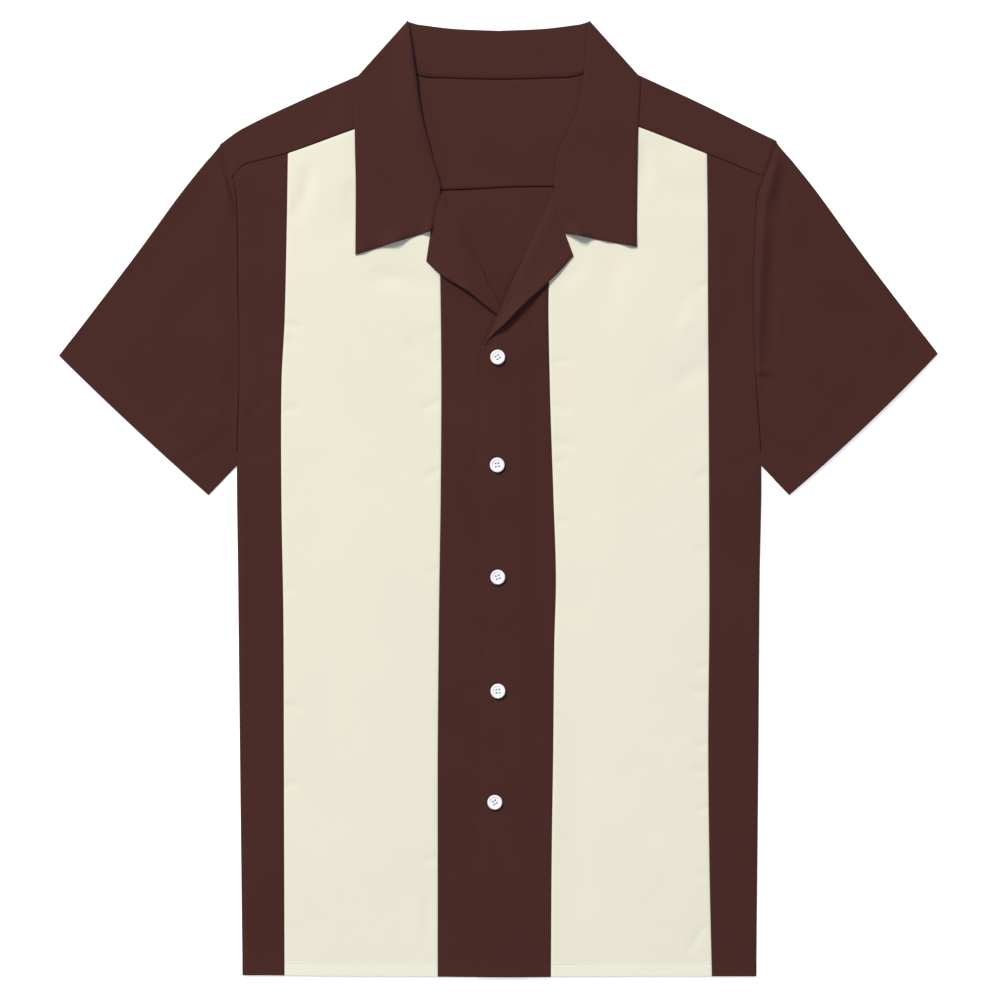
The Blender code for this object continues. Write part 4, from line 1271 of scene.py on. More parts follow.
@dataclass
class Yoke:
    """Yoke in one piece: across the back, over the shoulders, and a strip down each front."""

    finishes: Finishes
    cut: FlatCut = FlatCut(0.052, (0.456, 0.160))
    first_reach: float = 83.6
    tip_up: float = 713.6
    thick: float = 0.7
    side_columns: int = 46
    neck_columns: int = 44
    back_rows: int = 30
    front_step: float = 2.0
    front_strip: float = 48.0
    neck_gap: float = 2.5  # from the side of the neck to the columns behind it
    seam_dip: float = 0.34
    seam_width: float = 1.0
    back_creasing: float = 0.4  # share of the back's creases that it takes
    fold_steps: tuple[int, ...] = (-75, -50, -25, 0, 25, 50, 75)
    ridge_row: int = 2  # the collar's first rolled row
    ridge_rise: float = 2.0
    ridge_width: float = 7.5
    ridge_hidden: float = 1.6
    ridge_from: float = 680.0
    ridge_to: float = 769.0
    ridge_fade: float = 20.0

    def trimmed(self, plan: Array, side: Side, share: float) -> Array:
        """Hold the outermost column to the armhole."""
        if share < 1.0:
            return plan
        return np.stack([side.value * (CUT.body(side, plan[:, 1]) - SEAM), plan[:, 1]], axis=-1)

    def side_column(self, side: Side, share: float, front_rows: int) -> Array:
        """Points up the back, over the shoulder fold and down the front.

        Args:
            side: which shoulder.
            share: how far from the neck to the armhole.
            front_rows: rows of cells in the front strip.

        Returns:
            The column's points.
        """
        sign, label = side.value, side.label
        fold_reach = CUT.neck_side + GAP + share * (float(CUT.body(side, self.tip_up)) - CUT.neck_side - GAP)
        seam_reach = self.first_reach + share * (CUT.yoke_end - self.first_reach)
        foot_reach = CUT.foot_reach + share * (CUT.foot_end - CUT.foot_reach)
        radius = LAYER / 2
        foot = np.array([sign * foot_reach, float(CUT.inner_seam(sign * foot_reach)) + SEAM])
        fold_up = float(follow(CUT.shoulder, fold_reach, label)) - radius - self.thick / 2
        fold = np.array([sign * fold_reach, fold_up])
        seam = np.array([sign * seam_reach, float(follow(CUT.yoke_seam, seam_reach, label)) + SEAM])
        up = np.linspace(0, 1, self.back_rows + 1)[:, None]
        back = self.trimmed(foot * (1 - up) + fold * up, side, share)
        back_z = LAY.bed(back[:, 0], back[:, 1]) + WALL / 2
        down = np.linspace(0, 1, front_rows + 1)[:, None]
        front = self.trimmed(fold * (1 - down) + seam * down, side, share)
        from_seam = np.linalg.norm(front - front[-1], axis=1)
        dip = self.seam_dip * hump(from_seam, self.seam_width)
        front_z = LAY.front_bed(front[:, 0], front[:, 1]) + WALL / 2 - dip
        front_z = front_z + LAY.creases(Layer.FRONT, front[:, 0], front[:, 1]) * smooth(down[:, 0] * 3)
        middle = (back_z[-1] + front_z[0]) / 2
        angles = np.radians(self.fold_steps)
        across = np.full(len(angles), fold[0])
        arc = np.column_stack([across, fold[1] + radius * np.cos(angles), middle + radius * np.sin(angles)])
        back_points = np.column_stack([back, back_z])
        front_points = np.column_stack([front, front_z])
        return np.concatenate([back_points, arc, front_points])

    def ridge(self, x: Array, y: Array) -> Array:
        """Soft ridge in the back yoke beside the collar's roll on the wearer's right."""
        rows = COLLAR_FRONT[Side.RIGHT][self.ridge_row :]
        roll = np.interp(y, [row.roll_up for row in rows], [row.roll_reach for row in rows])
        inside = x + roll
        width = np.where(inside > 0.0, self.ridge_width, self.ridge_hidden)
        ends = smooth((y - self.ridge_from) / self.ridge_fade) * smooth((self.ridge_to - y) / self.ridge_fade)
        return self.ridge_rise * hump(inside, width) * ends

    def neck_column(self, across: float, rows: int) -> Array:
        """Points up the back to the neck seam, with the rest of the column left open.

        Args:
            across: where the column meets the neck seam.
            rows: points in a whole column.

        Returns:
            The column's points.
        """
        foot_across = across * CUT.foot_reach / CUT.neck_side
        foot = np.array([foot_across, float(CUT.inner_seam(foot_across)) + SEAM])
        head = np.array([across, float(follow(CUT.back_collar, abs(across), "neck")) - 2 * SEAM])
        up = np.linspace(0, 1, self.back_rows + 1)[:, None]
        plan = foot * (1 - up) + head * up
        x, y = plan[:, 0], plan[:, 1]
        creased = self.back_creasing * LAY.creases(Layer.BACK, x, y)
        z = LAY.bed(x, y) + WALL / 2 + creased + self.ridge(x, y)
        column = np.full((rows, 3), np.nan)
        column[: len(plan)] = np.column_stack([plan, z])
        return column

    def build(self) -> Piece:
        """Make the yoke."""
        front_rows = round(self.front_strip / self.front_step)
        shares = np.linspace(0.0, 1.0, self.side_columns + 1)
        right = [self.side_column(Side.RIGHT, share, front_rows) for share in shares[::-1]]
        left = [self.side_column(Side.LEFT, share, front_rows) for share in shares]
        edge = CUT.neck_side - self.neck_gap
        spots = np.linspace(-edge, edge, self.neck_columns + 1)
        middle = [self.neck_column(across, len(left[0])) for across in spots]
        points = np.array(right + middle + left)[::-1]
        grain = np.stack([np.where(np.isnan(points[..., 0]), 0.0, points[..., 0]), lengths(points)], axis=2)
        thick = np.full(points.shape[:2], self.thick)
        under = ["back_cloth", "collar_cloth"]
        sewn = Sewn("yoke", self.finishes.brown, self.cut, under, held="folded")
        return sewn.add(ClothSurface(points, grain, thick, np.ones(thick.shape)))


@dataclass
class Sleeve:
    """Short sleeve: a flattened tube from the armhole to the cuff."""

    side: Side
    finishes: Finishes
    cut: FlatCut = FlatCut(0.0505, (0.552, 0.172))
    low: float = 438.8
    length: float = 165.0
    puff: float = 1.1
    trough: float = 26.0
    swell_ends: float = 4.0  # how steeply the swell starts from each fold
    crease_ends: float = 12.0  # the same for the creases
    crease_start: float = 6.0
    least_crease: float = 0.35
    seam_dip: float = 0.34
    under_rise: float = 0.12
    seam_width: float = 1.2
    on_under: float = 1.2  # least height of the upper layer's middle
    bulge: float = 2.4  # how far the upper edge stands out beside the shoulder
    bulge_place: float = 0.22
    bulge_spread: float = 0.20
    bulge_start: float = 0.1
    thick: float = 0.62
    across_step: float = 2.6
    along_step: float = 3.4
    hem: Hem = field(default_factory=lambda: Hem(depth=19.0, stitch_up=18.8))
    fold_steps: tuple[int, ...] = (-60, -30, 0, 30, 60)
    cuff_stops: tuple[float, ...] = (
        0.0, 0.5, 1.2, 2.6, 5.0, 8.0, 11.0, 14.0, 16.6, 18.0, 18.6, 19.2, 20.0, 21.4,
    )

    @property
    def high(self) -> float:
        """Height of the armhole's upper end."""
        return SLEEVE_TOP[self.side]

    def armhole(self, share: Array) -> Array:
        """Plan points of the armhole seam, in reach and height."""
        height = self.low + share * (self.high - self.low)
        return np.stack([CUT.body(self.side, height) + SEAM, height], axis=-1)

    def ring(self) -> list[tuple[float, float]]:
        """Stops round the tube: how far up the armhole, and the angle round a fold, or a layer's ±90."""
        count = round((self.high - self.low) / self.across_step)
        shares = np.linspace(0.0, 1.0, count + 1)
        stops = [(share, -90.0) for share in shares]
        stops += [(1.0, float(step)) for step in self.fold_steps]
        stops += [(share, 90.0) for share in shares[::-1]]
        stops += [(0.0, float(step)) for step in reversed(self.fold_steps)]
        return stops

    def rise(self, x: Array, y: Array, away: Array, share: Array) -> Array:
        """How far the upper layer swells and creases.

        Args:
            x: places across.
            y: places up the shirt.
            away: distance of each from the armhole seam.
            share: how far up the armhole each is.

        Returns:
            The rise at each place.
        """
        ends = (self.swell_ends, self.crease_ends)
        swelling, creasing = (smooth(steep * share) * smooth(steep * (1 - share)) for steep in ends)
        room = smooth(away / self.crease_start) * creasing
        creased = LAY.creases(Layer.SLEEVE, x, y) * np.maximum(room, self.least_crease)
        return self.puff * smooth(away / self.trough) * swelling + creased

    def build(self) -> Piece:
        """Make the sleeve."""
        sign, label = self.side.value, self.side.label
        upper, lower = np.array(CUFF_UPPER[self.side]), np.array(CUFF_LOWER[self.side])
        stops = self.ring()
        share = np.array([stop[0] for stop in stops])
        angle = np.radians([stop[1] for stop in stops])
        along = graded(self.length, self.along_step, ARMHOLE_STOPS, self.cuff_stops)
        start = self.armhole(share)[:, None]
        end = cuff_line(self.side, share)[:, None]
        t = along[None, :, None]
        plan = start * (1 - t) + end * t
        low_end = self.armhole(np.array([0.0]))[:, None] * (1 - t) + lower * t
        high_end = self.armhole(np.array([1.0]))[:, None] * (1 - t) + upper * t
        inward = (high_end - low_end) / np.linalg.norm(high_end - low_end, axis=2, keepdims=True)
        bulge = self.bulge * hump(t - self.bulge_place, self.bulge_spread) * smooth(t / self.bulge_start)
        plan = plan + inward * bulge * share[:, None, None] ** 2
        radius = LAYER / 2
        turn = (radius + self.thick / 2) - radius * np.cos(angle)
        fold = np.where(share < 0.5, 1.0, -1.0) * turn
        at_fold = (share == 0.0) | (share == 1.0)
        plan = plan + inward * np.where(at_fold, fold, 0.0)[:, None, None]
        away = np.linalg.norm(plan - start, axis=2)
        to_cuff = np.linalg.norm(plan - end, axis=2)
        x, y = sign * plan[..., 0], plan[..., 1]
        height = WALL / 2 + radius * (1.0 + np.sin(angle))[:, None] + np.zeros_like(x)
        on_top = (angle > 1.5)[:, None]
        height = height + np.where(on_top, self.rise(x, y, away, share[:, None]), 0.0)
        height = np.maximum(height, np.where(on_top, self.on_under, height))
        height = height - np.where(on_top, self.seam_dip, -self.under_rise) * hump(away, self.seam_width)
        points = np.stack([x, y, height], axis=2)
        if self.side is Side.RIGHT:
            points = points[::-1]
            to_cuff = to_cuff[::-1]
        ring_step = np.linalg.norm(np.diff(points[:, 0, :], axis=0, prepend=points[:1, 0, :]), axis=1)
        grain = np.stack([np.repeat(np.cumsum(ring_step)[:, None], len(along), axis=1), to_cuff], axis=2)
        thick = self.hem.thick(self.thick, to_cuff)
        surface = ClothSurface(points, grain, thick, self.hem.doubled(to_cuff), ring=True)
        return Sewn(f"{label}_sleeve", self.finishes.brown, self.cut).add(surface)


ROLL_POINTS = 9  # points round a roll, between its stand and its fall


def rolled_section(stand: Array, fall: Array, bulge: Array) -> Array:
    """Middle line of a turned-over leaf.

    Args:
        stand: points up the stand, ending under the roll.
        fall: points down the fall, starting on the roll's upper side.
        bulge: unit direction in which the roll stands out.

    Returns:
        All the points, from the stand's foot to the fall's edge.
    """
    foot, head = stand[-1], fall[0]
    centre, half = (foot + head) / 2, (head - foot) / 2
    angles = np.linspace(0.0, math.pi, ROLL_POINTS + 2)[1:-1, None]
    reach = np.linalg.norm(half)
    arc = centre - half * np.cos(angles) + bulge * (reach * np.sin(angles))
    return np.concatenate([stand, arc, fall])


def between(rows: Sequence[LeafRow], place: float, corner: int = 0) -> LeafRow:
    """Row of a leaf's table at a place between its rows, curved except at a corner.

    Args:
        rows: the leaf's table.
        place: row number, with its fraction.
        corner: number of the row where the free edge turns sharply.

    Returns:
        The row there.
    """
    start, stop = (0, corner + 1) if place < corner else (corner, len(rows))
    values = {}
    for name in LeafRow._fields:
        first, last = (start, stop) if corner and name.startswith("edge") else (0, len(rows))
        column = np.array([getattr(row, name) for row in rows[first:last]])
        values[name] = float(curve(np.arange(first, last), column, place))
    return LeafRow(**values)


class SeamDrop(NamedTuple):
    """How far the stand's foot falls below its roll, growing with height over a run."""

    depth: float
    start: float
    run: float


@dataclass
class Collar:
    """One-piece camp collar: from one notch, round the neck, to the other notch."""

    finishes: Finishes
    cut: FlatCut = FlatCut(0.0435, (0.520, 0.112))
    thick: float = 0.86
    fold_spread: float = 0.865
    fall_spread: float = 1.33
    flat_rows: int = 2
    rows_between: int = 10
    fold_top: tuple[float, float] = (76.0, 820.4)
    stand_foot: tuple[float, float] = (86.0, 793.0)
    fall_foot: tuple[float, float] = (118.9, 772.6)
    over: float = 0.95  # from the front's middle to the collar's
    lift_reach: float = 14.0
    foot_reach: float = 0.42
    roll_run: float = 0.5  # rows over which the roll grows from the flat ones
    roll_start: float = 0.4
    drops: tuple[SeamDrop, ...] = (SeamDrop(6.0, 740.0, 40.0), SeamDrop(18.0, 777.0, 34.0))
    side_bulge: tuple[float, float] = (0.3, 0.954)  # way that the roll stands out beside the neck
    turn: int = 60  # degrees round the side of the neck, before and behind
    turn_step: int = 12
    bridges: tuple[int, int] = (2, 3)  # sections on to the turn and away from it
    back_half: float = 81.0
    back_sections: int = 41
    stand_shares: Array = field(default_factory=lambda: np.linspace(1.0, 0.08, 9))
    fall_shares: Array = field(default_factory=lambda: np.linspace(0.04, 1.0, 25) ** 1.15)

    def leaf_heights(self, plan: Array, roll: Array, lift: float) -> Array:
        """Height of the fall's middle over the front, higher by its roll."""
        x, y = plan[:, 0], plan[:, 1]
        away = np.linalg.norm(plan - roll, axis=1)
        raised = lift * np.exp(-((away / self.lift_reach) ** 2))
        return LAY.front_bed(x, y) + self.over + WALL / 2 + raised + LAY.creases(Layer.COLLAR, x, y)

    def foot_lift(self, side: Side, share: Array, place: float) -> Array:
        """How far the fall's lower edge stands off the front, in waves along it.

        Args:
            side: which front.
            share: shares of the way out to the edge.
            place: place along the collar's table.

        Returns:
            The lift at each share.
        """
        lift = np.zeros_like(share)
        for wave in FOOT_WAVES[side]:
            lift = lift + wave.rise * hump(share - wave.share, wave.spread)
        return lift * hump(place, self.foot_reach)

    def front_station(self, side: Side, place: float) -> Array:
        """Section across the collar on a front; a flat one has only its fall, after open places.

        Args:
            side: which front.
            place: place along the collar's table.

        Returns:
            The section's points.
        """
        sign = side.value
        row = between(COLLAR_FRONT[side], place)
        flat = place < self.flat_rows - 1e-6
        radius = (self.over + row.lift) / 2
        roll = np.array([sign * row.roll_reach, row.roll_up])
        edge = np.array([sign * row.edge_reach, row.edge_up])
        edge_way = (edge - roll) / np.linalg.norm(edge - roll)
        inset = 0.0 if flat else radius + self.thick / 2
        inset *= float(smooth((place - self.flat_rows) / self.roll_run + self.roll_start))
        roll = roll + edge_way * inset
        share = self.fall_shares[:, None].copy()
        share[0] = 0.0
        plan = roll * (1 - share) + edge * share
        fall = np.column_stack([plan, self.leaf_heights(plan, roll, row.lift)])
        fall[:, 2] += self.foot_lift(side, share[:, 0], place)
        if flat:
            hidden = np.full((self.full_length() - len(fall), 3), np.nan)
            return np.concatenate([hidden, fall])
        lowering = 0.0
        for drop in self.drops:
            lowering += drop.depth * float(smooth((row.roll_up - drop.start) / drop.run))
        height = max(row.roll_up - lowering, CUT.back_yoke_seam)
        seam = np.array([sign * (float(CUT.neck_reach(height)) - 2 * SEAM), height])
        share = self.stand_shares[:, None].copy()
        share[-1] = 0.0
        plan = roll * (1 - share) + seam * share
        stand = np.column_stack([plan, LAY.front_bed(plan[:, 0], plan[:, 1]) + WALL / 2])
        stand[-1, 2] = fall[0, 2] - 2 * radius
        return rolled_section(stand, fall, np.array([-sign, 0.0, 0.0]))

    def full_length(self) -> int:
        """Points in a whole section."""
        return len(self.stand_shares) + ROLL_POINTS + len(self.fall_shares)

    def side_station(self, side: Side, step: float) -> Array:
        """Section across the collar where it folds round the side of the neck.

        Args:
            side: which side of the neck.
            step: degrees round the fold, from 90 in front to -90 behind.

        Returns:
            The section's points.
        """
        sign = side.value
        angle = math.radians(step)
        top = np.array([sign * self.fold_top[0], self.fold_top[1], 0.0])
        middle = np.array([0.0, 0.0, WALL / 2 + 1.5 * LAYER])

        def leaf(foot: tuple[float, float], radius: float, shares: Array) -> Array:
            """Points from the fold's top towards a foot, moved out round the fold.

            Args:
                foot: where the leaf ends.
                radius: how far it is moved out.
                shares: shares of the way to the foot.

            Returns:
                The leaf's points.
            """
            end = np.array([sign * foot[0], foot[1], 0.0])
            way = (end - top) / np.linalg.norm(end - top)
            outward = np.array([-way[1], way[0], 0.0])
            outward = outward if outward[0] * sign > 0 else -outward
            shift = outward * (radius * math.cos(angle)) + np.array([0.0, 0.0, radius * math.sin(angle)])
            return top + (end - top) * shares[:, None] + shift + middle

        stand = leaf(self.stand_foot, LAYER / 2, self.stand_shares)
        fall = leaf(self.fall_foot, 1.5 * LAYER, self.fall_shares)
        across, up = self.side_bulge
        return rolled_section(stand, fall, np.array([sign * across, up, 0.0]))

    def back_station(self, across: float) -> Array:
        """Section across the collar behind the neck, its fall folded away underneath.

        Args:
            across: where it meets the neck seam.

        Returns:
            The section's points.
        """
        roll_across, edge_across = across * self.fold_spread, across * self.fall_spread
        fold_up = float(follow(CUT.back_collar, abs(roll_across), "fold"))
        roll = np.array([roll_across, fold_up - LAYER / 2 - self.thick / 2, 0.0])
        neck = np.array([across, float(follow(CUT.back_collar, abs(across), "neck")) + 2 * SEAM, 0.0])
        edge = np.array([edge_across, float(follow(CUT.back_collar, abs(edge_across), "fall")), 0.0])
        up, down = self.stand_shares[:, None].copy(), self.fall_shares[:, None].copy()
        up[-1], down[0] = 0.0, 0.0
        stand = roll + (neck - roll) * up + np.array([0, 0, LAYER + WALL / 2])
        fall = roll + (edge - roll) * down + np.array([0, 0, WALL / 2])
        return rolled_section(stand, fall, np.array([0.0, 1.0, 0.0]))

    def bridge(self, first: Array, last: Array, count: int) -> list[Array]:
        """Sections between two others."""
        return [first + (last - first) * step / (count + 1) for step in range(1, count + 1)]

    def half(self, side: Side) -> list[Array]:
        """Sections from a notch to just behind the side of the neck."""
        last = len(COLLAR_FRONT[side]) - 1
        places = np.linspace(0.0, last, last * self.rows_between + 1)
        sections = [self.front_station(side, place) for place in places]
        steps = range(self.turn, -self.turn - 1, -self.turn_step)
        around = [self.side_station(side, step) for step in steps]
        behind = self.back_station(side.value * self.back_half)
        sections += self.bridge(sections[-1], around[0], self.bridges[0]) + around
        return sections + self.bridge(around[-1], behind, self.bridges[1])

    def build(self) -> Piece:
        """Make the collar."""
        right, left = self.half(Side.RIGHT), self.half(Side.LEFT)
        spots = np.linspace(-self.back_half, self.back_half, self.back_sections)
        behind = [self.back_station(across) for across in spots]
        points = np.array(right + behind + left[::-1])
        edge = points[:, -1]
        along = np.cumsum(np.linalg.norm(np.diff(edge, axis=0, prepend=edge[:1]), axis=1))
        down = lengths(points[:, ::-1])[:, ::-1]
        grain = np.stack([np.repeat(along[:, None], points.shape[1], axis=1), down], axis=2)
        size = points.shape[:2]
        surface = ClothSurface(points, grain, np.full(size, self.thick), np.ones(size))
        under = ["right_front_stripe_cloth", "left_front_stripe_cloth", "yoke_cloth"]
        return Sewn("collar", self.finishes.brown, self.cut, under, held="folded").add(surface)


@dataclass
class Lapel:
    """Lapel turned back along its roll line."""

    side: Side
    finishes: Finishes
    cut: FlatCut = FlatCut(0.0034, (0.060, 0.138))
    thick: float = 0.86
    over: float = 0.86  # from the front's middle to the lapel's
    lift_reach: float = 14.0
    press_from: float = 598.0  # height above which the roll is pressed flat
    press_run: float = 20.0
    press_reach: float = 3.5
    pressed_height: float = 1.5
    pressed_radius: float = 0.22
    pressed_thick: float = 0.42
    widest_roll: float = 0.4  # share of the lapel's width that the roll may take
    stand_points: int = 4
    rows_between: int = 8
    shares: Array = field(default_factory=lambda: np.linspace(0.0, 1.0, 15) ** 1.1)

    def station(self, place: float) -> Array:
        """Section across the lapel at a place along its table, with its wall as a fourth number.

        Args:
            place: row number in the lapel's table, with its fraction.

        Returns:
            The section's points.
        """
        sign = self.side.value
        level = LAY.front_bed if self.side is Side.RIGHT else LAY.top_front_bed
        row = between(LAPELS[self.side], place, LAPEL_TIP[self.side])
        pressed = float(smooth((row.roll_up - self.press_from) / self.press_run))
        radius = (self.over + row.lift) / 2
        radius += (self.pressed_radius - radius) * pressed
        thin = self.thick + (self.pressed_thick - self.thick) * pressed
        roll = np.array([sign * row.roll_reach, row.roll_up])
        edge = np.array([sign * row.edge_reach, row.edge_up])
        inset = min(radius + thin / 2, self.widest_roll * float(np.linalg.norm(edge - roll)))
        start = np.array([roll[0] + sign * inset, roll[1]])
        share = self.shares[:, None]
        plan = start * (1 - share) + edge * share
        away = np.linalg.norm(plan - start, axis=1)
        raised = row.lift * hump(away, self.lift_reach) + row.edge_lift * self.shares**2
        height = level(plan[:, 0], plan[:, 1]) + self.over + WALL / 2 + raised
        near = pressed * hump(away, self.press_reach)
        low = LAY.bed(plan[:, 0], plan[:, 1]) + self.pressed_height
        fall = np.column_stack([plan, height + (low - height) * near])
        turn = np.array([roll[0] + sign * CUT.lapel_turn, roll[1]])
        back = np.linspace(0.0, 1.0, self.stand_points)[:, None]
        plan = turn * (1 - back) + start * back
        stand = np.column_stack([plan, level(plan[:, 0], plan[:, 1]) + WALL / 2])
        drop = fall[0, 2] - 2 * radius - stand[-1, 2]
        stand[:, 2] += drop * smooth(back[:, 0])
        section = rolled_section(stand, fall, np.array([-sign, 0.0, 0.0]))
        wall = np.full(len(section), thin)
        wall[-len(fall) :] = self.thick + (self.pressed_thick - self.thick) * near
        return np.column_stack([section, wall])

    def build(self) -> Piece:
        """Make the lapel."""
        last = len(LAPELS[self.side]) - 1
        places = np.linspace(0.0, last, last * self.rows_between + 1)
        stations = np.array([self.station(place) for place in places])
        if self.side is Side.LEFT:
            stations = stations[::-1]
        points, wall = stations[..., :3], stations[..., 3]
        surface = ClothSurface(points, points[..., :2].copy(), wall, np.ones(wall.shape))
        label = self.side.label
        under = [f"{label}_front_centre_cloth", f"{label}_front_stripe_cloth"]
        return Sewn(f"{label}_lapel", self.finishes.brown, self.cut, under, held="folded").add(surface)


# ---- Buttons ----


class ProfileRow(NamedTuple):
    """A ring of the button's turned outline."""

    radius: float
    height: float


@dataclass(frozen=True)
class Button:
    """Cast four-hole button: rounded rim, a groove, a dished middle, and thread through its holes."""

    number: int
    turn: float  # degrees that its holes are turned
    finishes: Finishes
    sides: int = 64
    hole_radius: float = 0.72
    hole_spread: float = 1.4
    hole_sides: int = 16
    pull: tuple[float, float] = (0.5, -0.55)  # how far the fronts pull it across and down in its buttonhole
    pin_length: float = 8.0
    pin_middle: float = 1.0
    sharp_from: float = 38.0  # degrees
    strand_beside: float = 0.16
    strand_past: float = 0.1  # share of a strand that is down each hole
    strand_up: float = 1.3
    strand_rise: float = 0.45
    strand_drop: float = 1.0
    strand_points: int = 13
    profile: tuple[ProfileRow, ...] = table(
        ProfileRow,
        (0.0, 0.0), (4.6, 0.0), (5.3, 0.25), (5.95, 0.75), (6.28, 1.2), (6.35, 1.5), (6.22, 1.85),
        (5.9, 2.15), (5.45, 2.3), (5.0, 2.26), (4.6, 2.08), (4.3, 1.8), (4.1, 1.62), (3.8, 1.58),
        (3.4, 1.66), (2.6, 1.62), (1.4, 1.56), (0.0, 1.54),
    )

    @property
    def node(self) -> str:
        """Name of the plain solid that this button stands for."""
        return f"button_{self.number}"

    def seat(self) -> Vector:
        """Middle of the button's underside, in the frame."""
        low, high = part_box(self.node)
        across, up = self.pull
        return Vector(((low.x + high.x) / 2 + across * MM, (low.y + high.y) / 2 + up * MM, low.z))

    def turned(self) -> bpy.types.Mesh:
        """Turn the outline round the button's axis."""
        disc = bmesh.new()
        rings = []
        for row in self.profile:
            if row.radius == 0.0:
                rings.append([disc.verts.new((0.0, 0.0, row.height * MM))])
                continue
            angles = [math.tau * k / self.sides for k in range(self.sides)]
            spots = [(row.radius * math.cos(a), row.radius * math.sin(a), row.height) for a in angles]
            rings.append([disc.verts.new(Vector(spot) * MM) for spot in spots])
        for lower, upper in zip(rings, rings[1:]):
            for k in range(self.sides):
                after = (k + 1) % self.sides
                corners = [lower[k % len(lower)], lower[after % len(lower)]]
                corners += [upper[after % len(upper)], upper[k % len(upper)]]
                disc.faces.new(list(dict.fromkeys(corners)))
        bmesh.ops.recalc_face_normals(disc, faces=disc.faces)
        mesh = bpy.data.meshes.new(f"{self.node}_blank")
        disc.to_mesh(mesh)
        disc.free()
        return mesh

    def holes(self) -> list[tuple[float, float]]:
        """Places of the four holes."""
        angles = [math.radians(self.turn + 45.0 + 90.0 * k) for k in range(4)]
        away = self.hole_spread * math.sqrt(2.0)
        return [(away * math.cos(a), away * math.sin(a)) for a in angles]

    def drilled(self) -> bpy.types.Mesh:
        """Cut the holes through the blank and put it in its place."""
        pins = bmesh.new()
        for across, up in self.holes():
            made = bmesh.ops.create_cone(
                pins,
                cap_ends=True,
                segments=self.hole_sides,
                radius1=self.hole_radius * MM,
                radius2=self.hole_radius * MM,
                depth=self.pin_length * MM,
            )
            bmesh.ops.translate(pins, verts=made["verts"], vec=Vector((across, up, self.pin_middle)) * MM)
        pin_mesh = bpy.data.meshes.new("hole_pins")
        pins.to_mesh(pin_mesh)
        pins.free()
        blank = new_object("button_blank", self.turned())
        cutter = new_object("hole_pins", pin_mesh)
        cut = blank.modifiers.new("holes", "BOOLEAN")
        cut.operation = "DIFFERENCE"
        cut.solver = "EXACT"
        cut.object = cutter
        mesh = evaluated_mesh(blank, f"{self.node}_resin")
        for part in (blank, cutter):
            bpy.data.objects.remove(part)
        seat = self.seat()
        for vertex in mesh.vertices:
            vertex.co = vertex.co + seat
        mesh.shade_smooth()
        mesh.set_sharp_from_angle(angle=math.radians(self.sharp_from))
        return mesh

    def thread_paths(self) -> list[Array]:
        """Paths of the sewing thread: two strands over each pair of holes."""
        holes = [np.array(hole) for hole in self.holes()]
        seat = np.array(self.seat()) / MM
        share = np.linspace(-self.strand_past, 1 + self.strand_past, self.strand_points)[:, None]
        over = self.strand_up + self.strand_rise * np.sin(np.pi * np.clip(share[:, 0], 0, 1)) ** 0.6
        down = (share[:, 0] < self.strand_past) | (share[:, 0] > 1 - self.strand_past)
        over = over - np.where(down, self.strand_drop, 0.0)
        paths = []
        for first, last in ((holes[0], holes[1]), (holes[3], holes[2])):
            way = (last - first) / np.linalg.norm(last - first)
            beside = np.array([-way[1], way[0]])
            for shift in (-self.strand_beside, self.strand_beside):
                plan = first + (last - first) * share + beside * shift
                paths.append(np.column_stack([plan + seat[:2], over + seat[2]]))
        return paths

    def build(self) -> Piece:
        """Make the button."""
        return add_piece(self.drilled(), self.finishes.resin, self.node)


def evaluated_mesh(source: Piece, name: str) -> bpy.types.Mesh:
    """Plain mesh of an object with its modifiers applied."""
    graph = bpy.context.evaluated_depsgraph_get()
    mesh = bpy.data.meshes.new_from_object(source.evaluated_get(graph))
    mesh.name = name
    return mesh


# ---- Stitching ----


class TreeInput(NamedTuple):
    """A named input of the stitch tree."""

    name: str
    kind: str
    value: float | int


STITCH_INPUTS = (
    TreeInput("Pitch", "NodeSocketFloat", 2.5 * MM),
    TreeInput("Stitch length", "NodeSocketFloat", 2.05 * MM),
    TreeInput("Thread width", "NodeSocketFloat", 0.42 * MM),
    TreeInput("Unevenness", "NodeSocketFloat", 0.08),
    TreeInput("Seed", "NodeSocketInt", 7),
)


